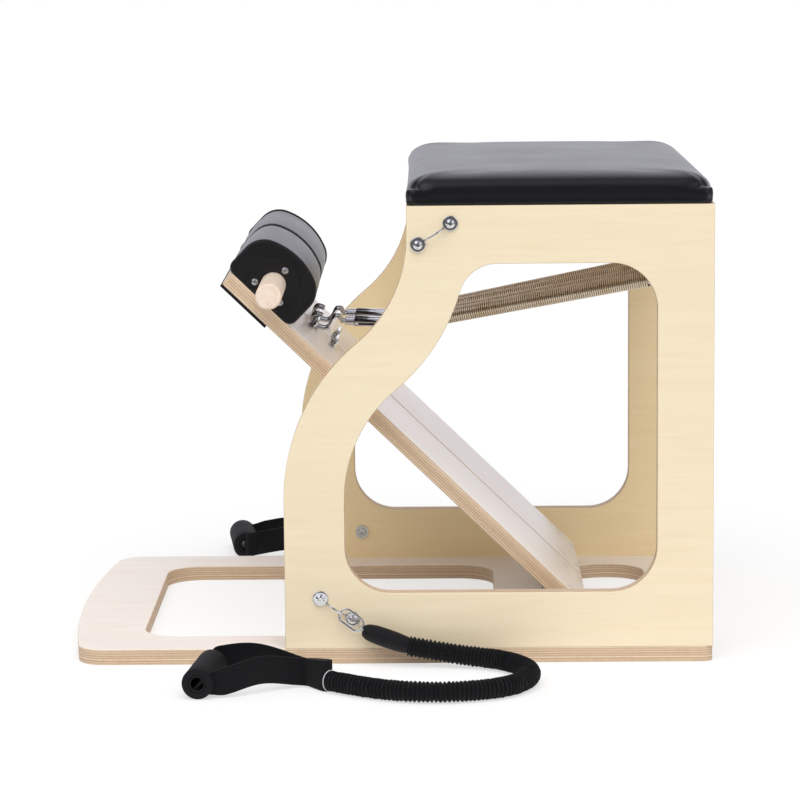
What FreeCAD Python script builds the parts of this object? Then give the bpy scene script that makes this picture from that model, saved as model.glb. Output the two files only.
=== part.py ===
"""Pilates chair: a plywood step-chair frame with a sprung split pedal, a linking dowel and two resistance cords.

The frame stands on the floor at Z = 0, with the origin at the middle of the base board's underside.
The user sits facing -X, +X is the rear edge and the near side panel is at -Y.
"""
import FreeCAD
import Part
import Sketcher
import math
import os

Vector = FreeCAD.Vector
Rotation = FreeCAD.Rotation
Placement = FreeCAD.Placement

doc = FreeCAD.newDocument("pilates_chair")
sheet = doc.addObject("Spreadsheet::Sheet", "Sizes")

# Driving dimensions, in millimetres and degrees
DIMENSIONS = {
    "base_length": 814,
    "chair_width": 610,
    "ply_thickness": 20,
    "board_edge_radius": 1.5,
    "base_front_bow": 22.4,
    "base_front_radius": 36,
    "base_rear_radius": 12,
    "base_front_bar": 95,
    "base_side_rail": 76,
    "front_opening_end": 265,
    "rear_opening_start": 158,
    "base_rear_bar": 56,
    "base_opening_radius": 48,
    "seat_depth": 379,
    "foot_depth": 534,
    "panel_top": 573,
    "upper_sweep_radius": 170,
    "lower_sweep_radius": 255,
    "upper_sweep_height": 535,
    "front_stile": 75.5,
    "rear_stile": 70,
    "window_top_height": 501,
    "window_bottom_height": 90,
    "window_radius": 57,
    "window_front_radius": 48,
    "seat_overhang": 2,
    "seat_board_thickness": 15,
    "seat_board_inset": 7,
    "cushion_side": 25,
    "cushion_height": 43,
    "cushion_shoulder": 55,
    "cushion_shoulder_rise": 15,
    "cushion_corner_radius": 14,
    "cleat_section": 25,
    "cleat_length": 276,
    "back_rail_height": 90,
    "spring_bar_diameter": 12,
    "spring_bar_from_rear": 38,
    "spring_bar_height": 463,
    "spring_bar_socket": 12,
    "collar_diameter": 24,
    "collar_width": 10,
    "axle_diameter": 12,
    "axle_from_rear": 190,
    "axle_height": 36,
    "axle_overhang": 5,
    "pillow_radius": 13,
    "pillow_foot": 50,
    "pillow_foot_height": 7,
    "pillow_width": 18,
    "pillow_pedal_gap": 4,
    "pedal_length": 623,
    "pedal_side_gap": 66,
    "pedal_gap": 8,
    "pedal_thickness": 20,
    "pedal_angle": 44.1,
    "pedal_end_from_rear": 150.1,
    "pedal_end_height": 50.1,
    "pedal_corner_radius": 3,
    "pad_length": 108,
    "pad_overhang": 9,
    "pad_height": 70,
    "pad_corner_radius": 10,
    "pad_crown_radius": 88,
    "pad_shoulder_radius": 30,
    "pad_wall": 12,
    "core_corner_radius": 2,
    "end_cap_thickness": 4,
    "cap_screw_length": 28,
    "cap_screw_circle": 47,
    "cap_screw_angle": 94,
    "cap_flange_diameter": 68,
    "cap_flange_thickness": 0.8,
    "cap_flange_base": 1,
    "dowel_diameter": 32,
    "dowel_length": 700,
    "dowel_end_radius": 3,
    "dowel_from_tip": 47.5,
    "dowel_above_board": 23.5,
    "dowel_clearance": 0.4,
    "bumper_length": 77,
    "bumper_thickness": 4,
    "bumper_inset": 3,
    "hinge_block_width": 24,
    "hinge_block_length": 32,
    "hinge_block_radius": 13,
    "hinge_flange": 8,
    "hinge_block_from_edge": 34,
    "hinge_block_first": 45,
    "bush_wall": 2,
    "running_clearance": 0.05,
    "loop_from_tip": 129,
    "loop_step": 36,
    "loop_centre": 43,
    "loop_span": 46,
    "loop_height": 11,
    "loop_wire": 5,
    "loop_plate_length": 70,
    "loop_plate_width": 13,
    "loop_plate_thickness": 2.5,
    "loop_bend_radius": 6,
    "hook_spacing": 24,
    "hook_wire": 4.4,
    "hook_bow_length": 36,
    "hook_bow_width": 15.2,
    "hook_slope": 2,
    "hook_collar_diameter": 9.6,
    "hook_collar_length": 12,
    "hook_shank_diameter": 4.4,
    "hook_shank_length": 34,
    "hook_gate_length": 14,
    "hook_gate_clearance": 0.2,
    "hook_tube_gap": 0.3,
    "tube_diameter": 10.8,
    "tube_bore": 8.4,
    "tube_length": 78,
    "tube_bore_depth": 60,
    "coil_diameter": 21,
    "coil_wire": 3.3,
    "coil_turns": 24,
    "coil_rear_spacing": 60,
    "coil_seat_clearance": 0.25,
    "plug_flange": 3,
    "plug_length": 18,
    "eye_wire": 4,
    "eye_reach": 26,
    "eye_clearance": 0.3,
    "bail_wire": 3,
    "bail_eye_diameter": 19.5,
    "bail_reach": 15,
    "bail_bolt_diameter": 6,
    "bail_head_diameter": 11.6,
    "bail_head_height": 3.4,
    "bail_washer_diameter": 16,
    "bail_washer_thickness": 1.5,
    "bail_nut_diameter": 18,
    "bail_nut_height": 3,
    "bail_pitch_long": 40,
    "bail_pitch_short": 26,
    "upper_bail_from_rear": 344.7,
    "upper_bail_height": 538.3,
    "lower_bail_from_rear": 469.5,
    "lower_bail_height": 70.7,
    "screw_diameter": 4.5,
    "screw_head_diameter": 9,
    "screw_length": 42,
    "short_screw_length": 15,
    "pedal_screw_length": 32,
    "rail_pin_diameter": 8,
    "rail_pin_length": 36,
    "rail_pin_depth": 12,
    "cord_diameter": 26,
    "ferrule_length": 55,
    "ferrule_mouth_diameter": 24,
    "ferrule_tail_diameter": 19,
    "ring_length": 37,
    "ring_width": 21,
    "ring_wire": 3.2,
    "ring_stand_off": 9,
    "ring_from_bow_middle": 9.5,
    "ring_overhang": 3.8,
    "lug_diameter": 10,
    "lug_wire": 3,
    "lug_drop": 1.5,
    "strap_height": 34,
    "strap_thickness": 3,
    "strap_box_length": 30,
    "strap_box_thickness": 12,
    "strap_core_height": 18,
    "strap_end_gap": 1,
    "grip_diameter": 38,
    "grip_bore": 22,
}


class Size:
    """A length or angle that carries both its number and the expression that gives it."""

    def __init__(self, value, text):
        self.value = value
        self.text = text

    @staticmethod
    def of(other):
        return other if isinstance(other, Size) else Size(float(other), repr(float(other)))

    def _join(self, other, sign, number):
        return Size(number, f"({self.text} {sign} {Size.of(other).text})")

    def __add__(self, other):
        return self._join(other, "+", self.value + Size.of(other).value)

    def __sub__(self, other):
        return self._join(other, "-", self.value - Size.of(other).value)

    def __mul__(self, other):
        return self._join(other, "*", self.value * Size.of(other).value)

    def __truediv__(self, other):
        return self._join(other, "/", self.value / Size.of(other).value)

    def __radd__(self, other):
        return Size.of(other) + self

    def __rsub__(self, other):
        return Size.of(other) - self

    def __rmul__(self, other):
        return Size.of(other) * self

    def __neg__(self):
        return Size.of(0) - self

    def __float__(self):
        return self.value


class Sizes:
    """The named driving dimensions, read back from the sheet."""


def fill_sheet():
    """Writes each driving dimension to its own aliased cell and returns them as sizes."""
    for row, (name, number) in enumerate(DIMENSIONS.items(), start=1):
        sheet.set(f"A{row}", name.replace("_", " "))
        sheet.set(f"B{row}", str(number))
        sheet.setAlias(f"B{row}", name)
    doc.recompute()
    sizes = Sizes()
    for name in DIMENSIONS:
        setattr(sizes, name, Size(float(getattr(sheet, name)), f"Sizes.{name}"))
    return sizes


d = fill_sheet()


def sine(angle):
    return Size(math.sin(math.radians(angle.value)), f"sin({angle.text})")


def cosine(angle):
    return Size(math.cos(math.radians(angle.value)), f"cos({angle.text})")


def root(size):
    return Size(math.sqrt(size.value), f"sqrt({size.text})")


# Shared places, worked out from the driving dimensions
half_length = d.base_length / 2
half_width = d.chair_width / 2
base_top = d.ply_thickness
inner_face = half_width - d.ply_thickness
seat_front = half_length - d.seat_depth
foot_front = half_length - d.foot_depth
spring_bar_x = half_length - d.spring_bar_from_rear
axle_x = half_length - d.axle_from_rear
pedal_x = half_length - d.pedal_end_from_rear
pedal_outer = inner_face - d.pedal_side_gap
pedal_width = pedal_outer - d.pedal_gap / 2
pillow_spread = pedal_outer + d.pillow_pedal_gap + d.pillow_width / 2
axle_length = 2 * (pillow_spread + d.pillow_width / 2 + d.axle_overhang)
loop_along = d.loop_from_tip - d.pedal_length


def bind(item, **expressions):
    """Ties properties of a document object to sizes."""
    for name, size in expressions.items():
        item.setExpression(name.replace("__", "."), Size.of(size).text)
    return item


def place(item, x=0, y=0, z=0):
    """Ties an object's position to sizes."""
    return bind(item, Placement__Base__x=x, Placement__Base__y=y, Placement__Base__z=z)


def on_pedal(item, y=0):
    """Lays an object drawn in the pedal's own frame on the tilted pedal.

    That frame's origin is the middle of the lower end's top edge, -x runs up the pedal, z is square to it.
    """
    item.Placement = Placement(Vector(), Rotation(Vector(0, 1, 0), d.pedal_angle.value))
    place(item, pedal_x, y, d.pedal_end_height)
    return bind(item, Placement__Rotation__Angle=d.pedal_angle)


def pedal_point(x, y, z):
    """A point of the pedal's own frame, in the chair's frame."""
    turn = Rotation(Vector(0, 1, 0), d.pedal_angle.value)
    return Vector(pedal_x.value, 0, d.pedal_end_height.value) + turn.multVec(Vector(x, y, z))


def new_body(label):
    body = doc.addObject("PartDesign::Body", label)
    body.Label = label
    return body


def new_sketch(body, plane, name):
    """A sketch on one of the body's own origin planes."""
    sketch = body.newObject("Sketcher::SketchObject", name)
    support = next(f for f in body.Origin.OriginFeatures if f.Role == plane)
    sketch.AttachmentSupport = [(support, "")]
    sketch.MapMode = "FlatFace"
    return sketch


def hold(sketch, kind, geometry, point, size):
    """Adds a dimension to a sketch and ties it to a size."""
    signed = size.value
    index = sketch.addConstraint(Sketcher.Constraint(kind, geometry, point, signed))
    sketch.setExpression(f"Constraints[{index}]", size.text)


def hold_radius(sketch, geometry, size):
    index = sketch.addConstraint(Sketcher.Constraint("Radius", geometry, size.value))
    sketch.setExpression(f"Constraints[{index}]", size.text)


START, END, CENTRE = range(1, 4)
FLATNESS = 1e-4


def line(sketch, first, last):
    return sketch.addGeometry(Part.LineSegment(Vector(*first, 0), Vector(*last, 0)), False)


def arc(sketch, centre, radius, start, end):
    """An arc drawn anticlockwise between two angles in degrees."""
    circle = Part.Circle(Vector(*centre, 0), Vector(0, 0, 1), radius)
    return sketch.addGeometry(Part.ArcOfCircle(circle, math.radians(start), math.radians(end)), False)


def rounded_rectangle(sketch, x0, x1, y0, y1, front_radius, rear_radius):
    """A rectangle with one radius at its low-x corners and another at its high-x corners."""
    left, right, low, high = x0.value, x1.value, y0.value, y1.value
    a, b = front_radius.value, rear_radius.value
    bottom = line(sketch, (left + a, low), (right - b, low))
    low_right = arc(sketch, (right - b, low + b), b, 270, 360)
    side = line(sketch, (right, low + b), (right, high - b))
    high_right = arc(sketch, (right - b, high - b), b, 0, 90)
    top = line(sketch, (right - b, high), (left + a, high))
    high_left = arc(sketch, (left + a, high - a), a, 90, 180)
    other = line(sketch, (left, high - a), (left, low + a))
    low_left = arc(sketch, (left + a, low + a), a, 180, 270)
    chain = [bottom, low_right, side, high_right, top, high_left, other, low_left]
    for first, second in zip(chain, chain[1:] + chain[:1]):
        sketch.addConstraint(Sketcher.Constraint("Tangent", first, END, second, START))
    for edge in (bottom, top):
        sketch.addConstraint(Sketcher.Constraint("Horizontal", edge))
    for edge in (side, other):
        sketch.addConstraint(Sketcher.Constraint("Vertical", edge))
    for corner in (high_left, low_left):
        hold_radius(sketch, corner, front_radius)
    for corner in (low_right, high_right):
        hold_radius(sketch, corner, rear_radius)
    hold(sketch, "DistanceY", bottom, START, y0)
    hold(sketch, "DistanceY", top, START, y1)
    hold(sketch, "DistanceX", side, START, x1)
    hold(sketch, "DistanceX", other, START, x0)


def hole(sketch, x, y, radius):
    """A circle held by its centre and radius."""
    circle = sketch.addGeometry(Part.Circle(Vector(x.value, y.value, 0), Vector(0, 0, 1), radius.value), False)
    hold(sketch, "DistanceX", circle, CENTRE, x)
    hold(sketch, "DistanceY", circle, CENTRE, y)
    hold_radius(sketch, circle, radius)


def pad(body, sketch, length, reverse=False):
    feature = body.newObject("PartDesign::Pad", sketch.Name + "_pad")
    feature.Profile = sketch
    feature.Reversed = reverse
    bind(feature, Length=length)
    sketch.Visibility = False
    doc.recompute()
    return feature


def pocket(body, sketch, length, reverse=False):
    """Cuts a sketch into its body and makes sure that the cut reached the solid."""
    before = body.Shape.Volume
    feature = body.newObject("PartDesign::Pocket", sketch.Name + "_pocket")
    feature.Profile = sketch
    feature.Reversed = reverse
    bind(feature, Length=length)
    doc.recompute()
    if body.Shape.Volume > before - 1:
        raise ValueError(f"{sketch.Name} cuts nothing")
    return feature


def round_edges(body, radius, chosen):
    """Rounds the chosen edges of a body's solid."""
    base = body.Tip
    names = [f"Edge{number}" for number, edge in enumerate(base.Shape.Edges, start=1) if chosen(edge)]
    feature = body.newObject("PartDesign::Fillet", body.Label + "_rounding")
    feature.Base = (base, names)
    bind(feature, Radius=radius)
    doc.recompute()
    return feature


def lies_flat(edge, axis, levels):
    """Whether an edge lies in one of the planes square to an axis at the given levels."""
    low, high = getattr(edge.BoundBox, axis + "Min"), getattr(edge.BoundBox, axis + "Max")
    return high - low < FLATNESS and any(abs(low - level.value) < FLATNESS for level in levels)


def box(name, length, width, height, x, y, z):
    """A bound Part::Box whose low corner is at x, y, z."""
    item = doc.addObject("Part::Box", name)
    bind(item, Length=length, Width=width, Height=height)
    return place(item, x, y, z)


AXIS_TURN = {
    "x": Rotation(Vector(0, 1, 0), 90),
    "y": Rotation(Vector(1, 0, 0), -90),
    "z": Rotation(),
}


def cylinder(name, radius, height, axis, x, y, z):
    """A bound Part::Cylinder that starts at x, y, z and runs along one positive axis."""
    item = doc.addObject("Part::Cylinder", name)
    item.Placement = Placement(Vector(), AXIS_TURN[axis])
    bind(item, Radius=radius, Height=height)
    return place(item, x, y, z)


def combine(kind, label, pieces):
    """A boolean or compound of document objects, named as a sub-part."""
    item = doc.addObject(f"Part::{kind}", label)
    item.Label = label
    if kind == "Compound":
        item.Links = pieces
    elif kind in ("MultiFuse", "MultiCommon"):
        item.Shapes = pieces
    else:
        item.Base, item.Tool = pieces
    return item


def solid_feature(label, shape):
    """A sub-part whose shape follows a path or a free form."""
    item = doc.addObject("Part::Feature", label)
    item.Label = label
    item.Shape = shape
    return item


nodes = []


def node(item, label=None):
    """Registers a sub-part that is written to its own file."""
    if label:
        item.Label = label
    nodes.append(item)
    return item


# Base board
def base_outline(sketch):
    """A rectangle with rounded corners whose front edge bows out to the base's full length."""
    bow, r, b = d.base_front_bow, d.base_front_radius, d.base_rear_radius
    bow_radius = (half_width * half_width + bow * bow) / (2 * bow)
    bow_middle = bow_radius - half_length
    lean = math.asin((half_width - r).value / (bow_radius - r).value)
    corner_x = bow_middle.value - (bow_radius - r).value * math.cos(lean)
    corner_y, turn = (half_width - r).value, math.degrees(lean)
    right, side_y = half_length.value, half_width.value
    near = line(sketch, (corner_x, -side_y), (right - b.value, -side_y))
    near_rear = arc(sketch, (right - b.value, b.value - side_y), b.value, 270, 360)
    rear = line(sketch, (right, b.value - side_y), (right, side_y - b.value))
    far_rear = arc(sketch, (right - b.value, side_y - b.value), b.value, 0, 90)
    far = line(sketch, (right - b.value, side_y), (corner_x, side_y))
    far_front = arc(sketch, (corner_x, corner_y), r.value, 90, 180 - turn)
    front = arc(sketch, (bow_middle.value, 0), bow_radius.value, 180 - turn, 180 + turn)
    near_front = arc(sketch, (corner_x, -corner_y), r.value, 180 + turn, 270)
    chain = [near, near_rear, rear, far_rear, far, far_front, front, near_front]
    for first, second in zip(chain, chain[1:] + chain[:1]):
        sketch.addConstraint(Sketcher.Constraint("Tangent", first, END, second, START))
    for edge in (near, far):
        sketch.addConstraint(Sketcher.Constraint("Horizontal", edge))
    sketch.addConstraint(Sketcher.Constraint("Vertical", rear))
    sketch.addConstraint(Sketcher.Constraint("PointOnObject", front, CENTRE, -1))
    for corner, radius in ((far_front, r), (near_front, r), (near_rear, b), (far_rear, b), (front, bow_radius)):
        hold_radius(sketch, corner, radius)
    hold(sketch, "DistanceX", front, CENTRE, bow_middle)
    hold(sketch, "DistanceX", rear, START, half_length)
    hold(sketch, "DistanceY", near, START, -half_width)
    hold(sketch, "DistanceY", far, START, half_width)


def make_base_board():
    """One plywood sheet with a bowed front and two rounded openings."""
    body = new_body("base_board")
    outline = new_sketch(body, "XY_Plane", "base_outline")
    base_outline(outline)
    opening_edge = half_width - d.base_side_rail
    rounded_rectangle(outline, d.base_front_bar - half_length, half_length - d.front_opening_end,
                      -opening_edge, opening_edge, d.base_opening_radius, d.base_opening_radius)
    rounded_rectangle(outline, half_length - d.rear_opening_start, half_length - d.base_rear_bar,
                      -opening_edge, opening_edge, d.base_opening_radius, d.base_opening_radius)
    pad(body, outline, d.ply_thickness)
    round_edges(body, d.board_edge_radius, lambda e: lies_flat(e, "Z", (Size.of(0), d.ply_thickness)))
    return node(body)


# Side panels
sweep_sum = d.upper_sweep_radius + d.lower_sweep_radius
sweep_run = sweep_sum - (seat_front - foot_front)
sweep_rise = root(sweep_sum * sweep_sum - sweep_run * sweep_run)
upper_centre = (seat_front - d.upper_sweep_radius, d.upper_sweep_height)
lower_centre = (foot_front + d.lower_sweep_radius, d.upper_sweep_height - sweep_rise)
sweep_angle = math.degrees(math.acos(sweep_run.value / sweep_sum.value))


def numbers(sizes):
    return tuple(size.value for size in sizes)


def panel_outline(sketch):
    """The swept front edge: two tangent arcs between the upright seat edge and the upright foot edge."""
    top, rear = d.panel_top.value, half_length.value
    front, seat = foot_front.value, seat_front.value
    foot_edge = line(sketch, (front, base_top.value), (front, lower_centre[1].value))
    lower = arc(sketch, numbers(lower_centre), d.lower_sweep_radius.value, 180 - sweep_angle, 180)
    upper = arc(sketch, numbers(upper_centre), d.upper_sweep_radius.value, -sweep_angle, 0)
    seat_edge = line(sketch, (seat, upper_centre[1].value), (seat, top))
    top_edge = line(sketch, (seat, top), (rear, top))
    rear_edge = line(sketch, (rear, top), (rear, base_top.value))
    bottom_edge = line(sketch, (rear, base_top.value), (front, base_top.value))
    for first, first_end, second, second_end in (
        (foot_edge, END, lower, END), (lower, START, upper, START), (upper, END, seat_edge, START),
    ):
        sketch.addConstraint(Sketcher.Constraint("Tangent", first, first_end, second, second_end))
    corners = [seat_edge, top_edge, rear_edge, bottom_edge, foot_edge]
    for first, second in zip(corners, corners[1:]):
        sketch.addConstraint(Sketcher.Constraint("Coincident", first, END, second, START))
    for edge in (foot_edge, seat_edge, rear_edge):
        sketch.addConstraint(Sketcher.Constraint("Vertical", edge))
    for edge in (top_edge, bottom_edge):
        sketch.addConstraint(Sketcher.Constraint("Horizontal", edge))
    hold_radius(sketch, lower, d.lower_sweep_radius)
    hold_radius(sketch, upper, d.upper_sweep_radius)
    hold(sketch, "DistanceX", foot_edge, START, foot_front)
    hold(sketch, "DistanceY", foot_edge, START, base_top)
    hold(sketch, "DistanceX", seat_edge, END, seat_front)
    hold(sketch, "DistanceY", seat_edge, END, d.panel_top)
    hold(sketch, "DistanceX", rear_edge, START, half_length)
    hold(sketch, "DistanceY", upper, CENTRE, d.upper_sweep_height)


def panel_window(sketch):
    """The window, whose front side runs parallel to the swept edge at the width of the front stile."""
    left = foot_front + d.front_stile
    right = half_length - d.rear_stile
    low, high = d.window_bottom_height, d.window_top_height
    upper_radius = d.upper_sweep_radius + d.front_stile
    lower_radius = d.lower_sweep_radius - d.front_stile
    r, front_r = d.window_radius.value, d.window_front_radius.value
    drop = high.value - front_r - upper_centre[1].value
    corner_x = upper_centre[0].value + math.sqrt((upper_radius.value + front_r) ** 2 - drop ** 2)
    meet = math.degrees(math.asin(drop / (upper_radius.value + front_r)))
    front = line(sketch, (left.value, low.value + r), (left.value, lower_centre[1].value))
    lower = arc(sketch, numbers(lower_centre), lower_radius.value, 180 - sweep_angle, 180)
    upper = arc(sketch, numbers(upper_centre), upper_radius.value, -sweep_angle, meet)
    front_corner = arc(sketch, (corner_x, high.value - front_r), front_r, 90, 180 + meet)
    top = line(sketch, (right.value - r, high.value), (corner_x, high.value))
    top_corner = arc(sketch, (right.value - r, high.value - r), r, 0, 90)
    rear = line(sketch, (right.value, low.value + r), (right.value, high.value - r))
    rear_corner = arc(sketch, (right.value - r, low.value + r), r, 270, 360)
    bottom = line(sketch, (left.value + r, low.value), (right.value - r, low.value))
    foot_corner = arc(sketch, (left.value + r, low.value + r), r, 180, 270)
    for first, first_end, second, second_end in (
        (front, END, lower, END), (lower, START, upper, START), (upper, END, front_corner, END),
        (front_corner, START, top, END), (top, START, top_corner, END), (top_corner, START, rear, END),
        (rear, START, rear_corner, END), (rear_corner, START, bottom, END),
        (bottom, START, foot_corner, END), (foot_corner, START, front, START),
    ):
        sketch.addConstraint(Sketcher.Constraint("Tangent", first, first_end, second, second_end))
    for edge in (front, rear):
        sketch.addConstraint(Sketcher.Constraint("Vertical", edge))
    for edge in (top, bottom):
        sketch.addConstraint(Sketcher.Constraint("Horizontal", edge))
    hold_radius(sketch, lower, lower_radius)
    hold_radius(sketch, upper, upper_radius)
    hold_radius(sketch, front_corner, d.window_front_radius)
    for corner in (top_corner, rear_corner, foot_corner):
        hold_radius(sketch, corner, d.window_radius)
    hold(sketch, "DistanceX", front, START, left)
    hold(sketch, "DistanceX", rear, START, right)
    hold(sketch, "DistanceY", top, START, high)
    hold(sketch, "DistanceY", bottom, START, low)
    hold(sketch, "DistanceX", upper, CENTRE, upper_centre[0])
    hold(sketch, "DistanceY", upper, CENTRE, upper_centre[1])


def bail_screw_places():
    """Where the two screws of the upper and of the lower wire bail stand, as (x, z)."""
    along, across = d.bail_pitch_long / 2, d.bail_pitch_short / 2
    upper_x, upper_z = half_length - d.upper_bail_from_rear, d.upper_bail_height
    lower_x, lower_z = half_length - d.lower_bail_from_rear, d.lower_bail_height
    return (
        ((upper_x - along, upper_z - across), (upper_x + along, upper_z + across)),
        ((lower_x - along, lower_z + across), (lower_x + along, lower_z - across)),
    )


def make_side_panel(label, side):
    """A plywood side panel, drawn on its inner face and thickened outwards."""
    body = new_body(label)
    outline = new_sketch(body, "XZ_Plane", label + "_outline")
    panel_outline(outline)
    panel_window(outline)
    pad(body, outline, d.ply_thickness, reverse=side > 0)
    faces = (Size.of(0), side * d.ply_thickness)
    ends = (base_top, d.panel_top)
    round_edges(body, d.board_edge_radius,
                lambda e: lies_flat(e, "Y", faces) and not lies_flat(e, "Z", ends))
    bolts = new_sketch(body, "XZ_Plane", label + "_bolt_holes")
    for pair in bail_screw_places():
        for x, z in pair:
            hole(bolts, x, z, d.bail_bolt_diameter / 2)
    pocket(body, bolts, d.ply_thickness, reverse=side < 0)
    socket = new_sketch(body, "XZ_Plane", label + "_bar_socket")
    hole(socket, spring_bar_x, d.spring_bar_height, d.spring_bar_diameter / 2)
    pocket(body, socket, d.spring_bar_socket, reverse=side < 0)
    place(body, 0, side * inner_face, 0)
    return node(body)


# Seat
SHOULDER_IN, SHOULDER_UP = 0.3, 0.65


def arched_face(low, high, side, shoulder_rise, shoulder, top, at):
    """A cushion's cross section: a flat base, short upright sides, broad rounded shoulders and a crown.

    The face spans low to high across, and "at" turns (across, up) into a point.
    """
    edge = side + shoulder_rise
    inward, upward = shoulder * SHOULDER_IN, side + shoulder_rise * SHOULDER_UP
    middle = (low + high) / 2
    edges = [
        Part.makeLine(at(low, 0), at(high, 0)),
        Part.makeLine(at(high, 0), at(high, side)),
        Part.Arc(at(high, side), at(high - inward, upward), at(high - shoulder, edge)).toShape(),
        Part.Arc(at(high - shoulder, edge), at(middle, top), at(low + shoulder, edge)).toShape(),
        Part.Arc(at(low + shoulder, edge), at(low + inward, upward), at(low, side)).toShape(),
        Part.makeLine(at(low, side), at(low, 0)),
    ]
    return Part.Face(Part.Wire(edges))


def make_seat():
    """An upholstered seat: a plywood board inside the bottom of a crowned cushion, on cleats."""
    x0 = seat_front - d.seat_overhang
    length = half_length - x0
    width = d.chair_width + d.seat_overhang * 2
    inset = d.seat_board_inset
    board = box("seat_board", length - inset * 2, width - inset * 2, d.seat_board_thickness,
                x0 + inset, inset - width / 2, d.panel_top)
    node(board)
    base, low_y = d.panel_top.value, -width.value / 2
    height = d.cushion_height.value
    sizes = (d.cushion_side.value, d.cushion_shoulder_rise.value, d.cushion_shoulder.value, height)
    along = arched_face(x0.value, half_length.value, *sizes, lambda s, up: Vector(s, low_y, base + up))
    across = arched_face(low_y, -low_y, *sizes, lambda s, up: Vector(x0.value, s, base + up))
    form = along.extrude(Vector(0, width.value, 0)).common(across.extrude(Vector(length.value, 0, 0)))
    plan = Part.makeBox(length.value, width.value, height, Vector(x0.value, low_y, base))
    uprights = [e for e in plan.Edges if abs(e.tangentAt(e.FirstParameter).z) > 0.9]
    form = form.common(plan.makeFillet(d.cushion_corner_radius.value, uprights))
    pocket_box = Part.makeBox(length.value - 2 * inset.value, width.value - 2 * inset.value,
                              d.seat_board_thickness.value, Vector(x0.value + inset.value,
                                                                   low_y + inset.value, base))
    node(solid_feature("seat_cushion", form.cut(pocket_box)))
    section = d.cleat_section
    cleat_x = half_length - d.ply_thickness - d.cleat_length
    cleats = [
        box(f"cleat_{name}", d.cleat_length, section, section, cleat_x, y, d.panel_top - section)
        for name, y in (("near", -inner_face), ("far", inner_face - section))
    ]
    node(combine("Compound", "seat_cleats", cleats))
    rail = box("back_rail", d.ply_thickness, inner_face * 2, d.back_rail_height,
               half_length - d.ply_thickness, -inner_face, d.panel_top - d.back_rail_height)
    node(rail)
    return cleat_x


# Fasteners
PAN_HEAD_RISE = 0.5


def screw_shape(length, head_angle_height):
    """A countersunk wood screw pointing down -Z from the face that its head is flush with."""
    head, shank = d.screw_head_diameter.value / 2, d.screw_diameter.value / 2
    recess = Part.makeCylinder(shank * 0.55, head_angle_height * 0.6, Vector(0, 0, -head_angle_height * 0.6))
    cone = Part.makeCone(shank, head, head_angle_height, Vector(0, 0, -head_angle_height))
    rod = Part.makeCylinder(shank, length - head_angle_height - shank, Vector(0, 0, shank - length))
    tip = Part.makeCone(0, shank, shank, Vector(0, 0, -length))
    return cone.fuse(rod).fuse(tip).removeSplitter().cut(recess)


def pan_screw_shape(length):
    """A pan-head screw pointing down -Z from the face that its head stands on."""
    head, shank = d.screw_head_diameter.value / 2, d.screw_diameter.value / 2
    height = head * PAN_HEAD_RISE
    ball = (head * head + height * height) / (2 * height)
    dome = Part.makeSphere(ball, Vector(0, 0, height - ball)).common(Part.makeCylinder(head, height))
    drive = Part.makeCone(shank * 0.5, shank * 0.8, height, Vector(0, 0, height * 0.4))
    rod = Part.makeCylinder(shank, length - shank, Vector(0, 0, shank - length))
    tip = Part.makeCone(0, shank, shank, Vector(0, 0, -length))
    return dome.fuse([rod, tip]).cut(drive)


def placed(shape, point, direction=Vector(0, 0, 1)):
    """A copy of a shape whose +Z looks along a direction, at a point."""
    copy = shape.copy()
    copy.Placement = Placement(point, Rotation(Vector(0, 0, 1), direction))
    return copy


def make_wood_screws(cleat_x):
    """Screws from under the base and through the cleats, and blind pins that join the rail to the panels."""
    head = (d.screw_head_diameter.value - d.screw_diameter.value) / 2
    screw = screw_shape(d.screw_length.value, head)
    panel_line = half_width.value - d.ply_thickness.value / 2
    first, last = foot_front.value + d.front_stile.value / 2, half_length.value - d.rear_stile.value / 2
    shapes = []
    for side in (-1, 1):
        for step in range(4):
            x = first + (last - first) * step / 3
            shapes.append(placed(screw, Vector(x, side * panel_line, 0), Vector(0, 0, -1)))
        inset = d.cleat_section.value / 2
        for share in (0.15, 0.85):
            x = cleat_x.value + d.cleat_length.value * share
            under = d.panel_top.value - d.cleat_section.value
            y = side * (inner_face.value - inset)
            seat_screw = screw_shape(d.cleat_section.value + d.seat_board_thickness.value * 0.7, head)
            shapes.append(placed(seat_screw, Vector(x, y, under), Vector(0, 0, -1)))
        for share in (0.22, 0.78):
            z = d.panel_top.value - d.back_rail_height.value * share
            x = half_length.value - d.ply_thickness.value / 2
            start = Vector(x, side * (inner_face + d.rail_pin_depth).value, z)
            shapes.append(Part.makeCylinder(d.rail_pin_diameter.value / 2, d.rail_pin_length.value, start,
                                            Vector(0, -side, 0)))
    return node(solid_feature("wood_screws", Part.makeCompound(shapes)))


# Spring bar and pedal axle
def make_spring_bar():
    """The steel rod that the springs hook onto, socketed in both side panels."""
    reach = inner_face + d.spring_bar_socket
    bar = cylinder("spring_bar", d.spring_bar_diameter / 2, reach * 2, "y",
                   spring_bar_x, -reach, d.spring_bar_height)
    node(bar)
    collars = []
    for name, y in (("near", -inner_face), ("far", inner_face - d.collar_width)):
        ring = cylinder(f"collar_ring_{name}", d.collar_diameter / 2, d.collar_width, "y",
                        spring_bar_x, y, d.spring_bar_height)
        bore = cylinder(f"collar_bore_{name}", d.spring_bar_diameter / 2, d.collar_width, "y",
                        spring_bar_x, y, d.spring_bar_height)
        collars.append(combine("Cut", f"collar_{name}", (ring, bore)))
    node(combine("Compound", "bar_collars", collars))


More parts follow.
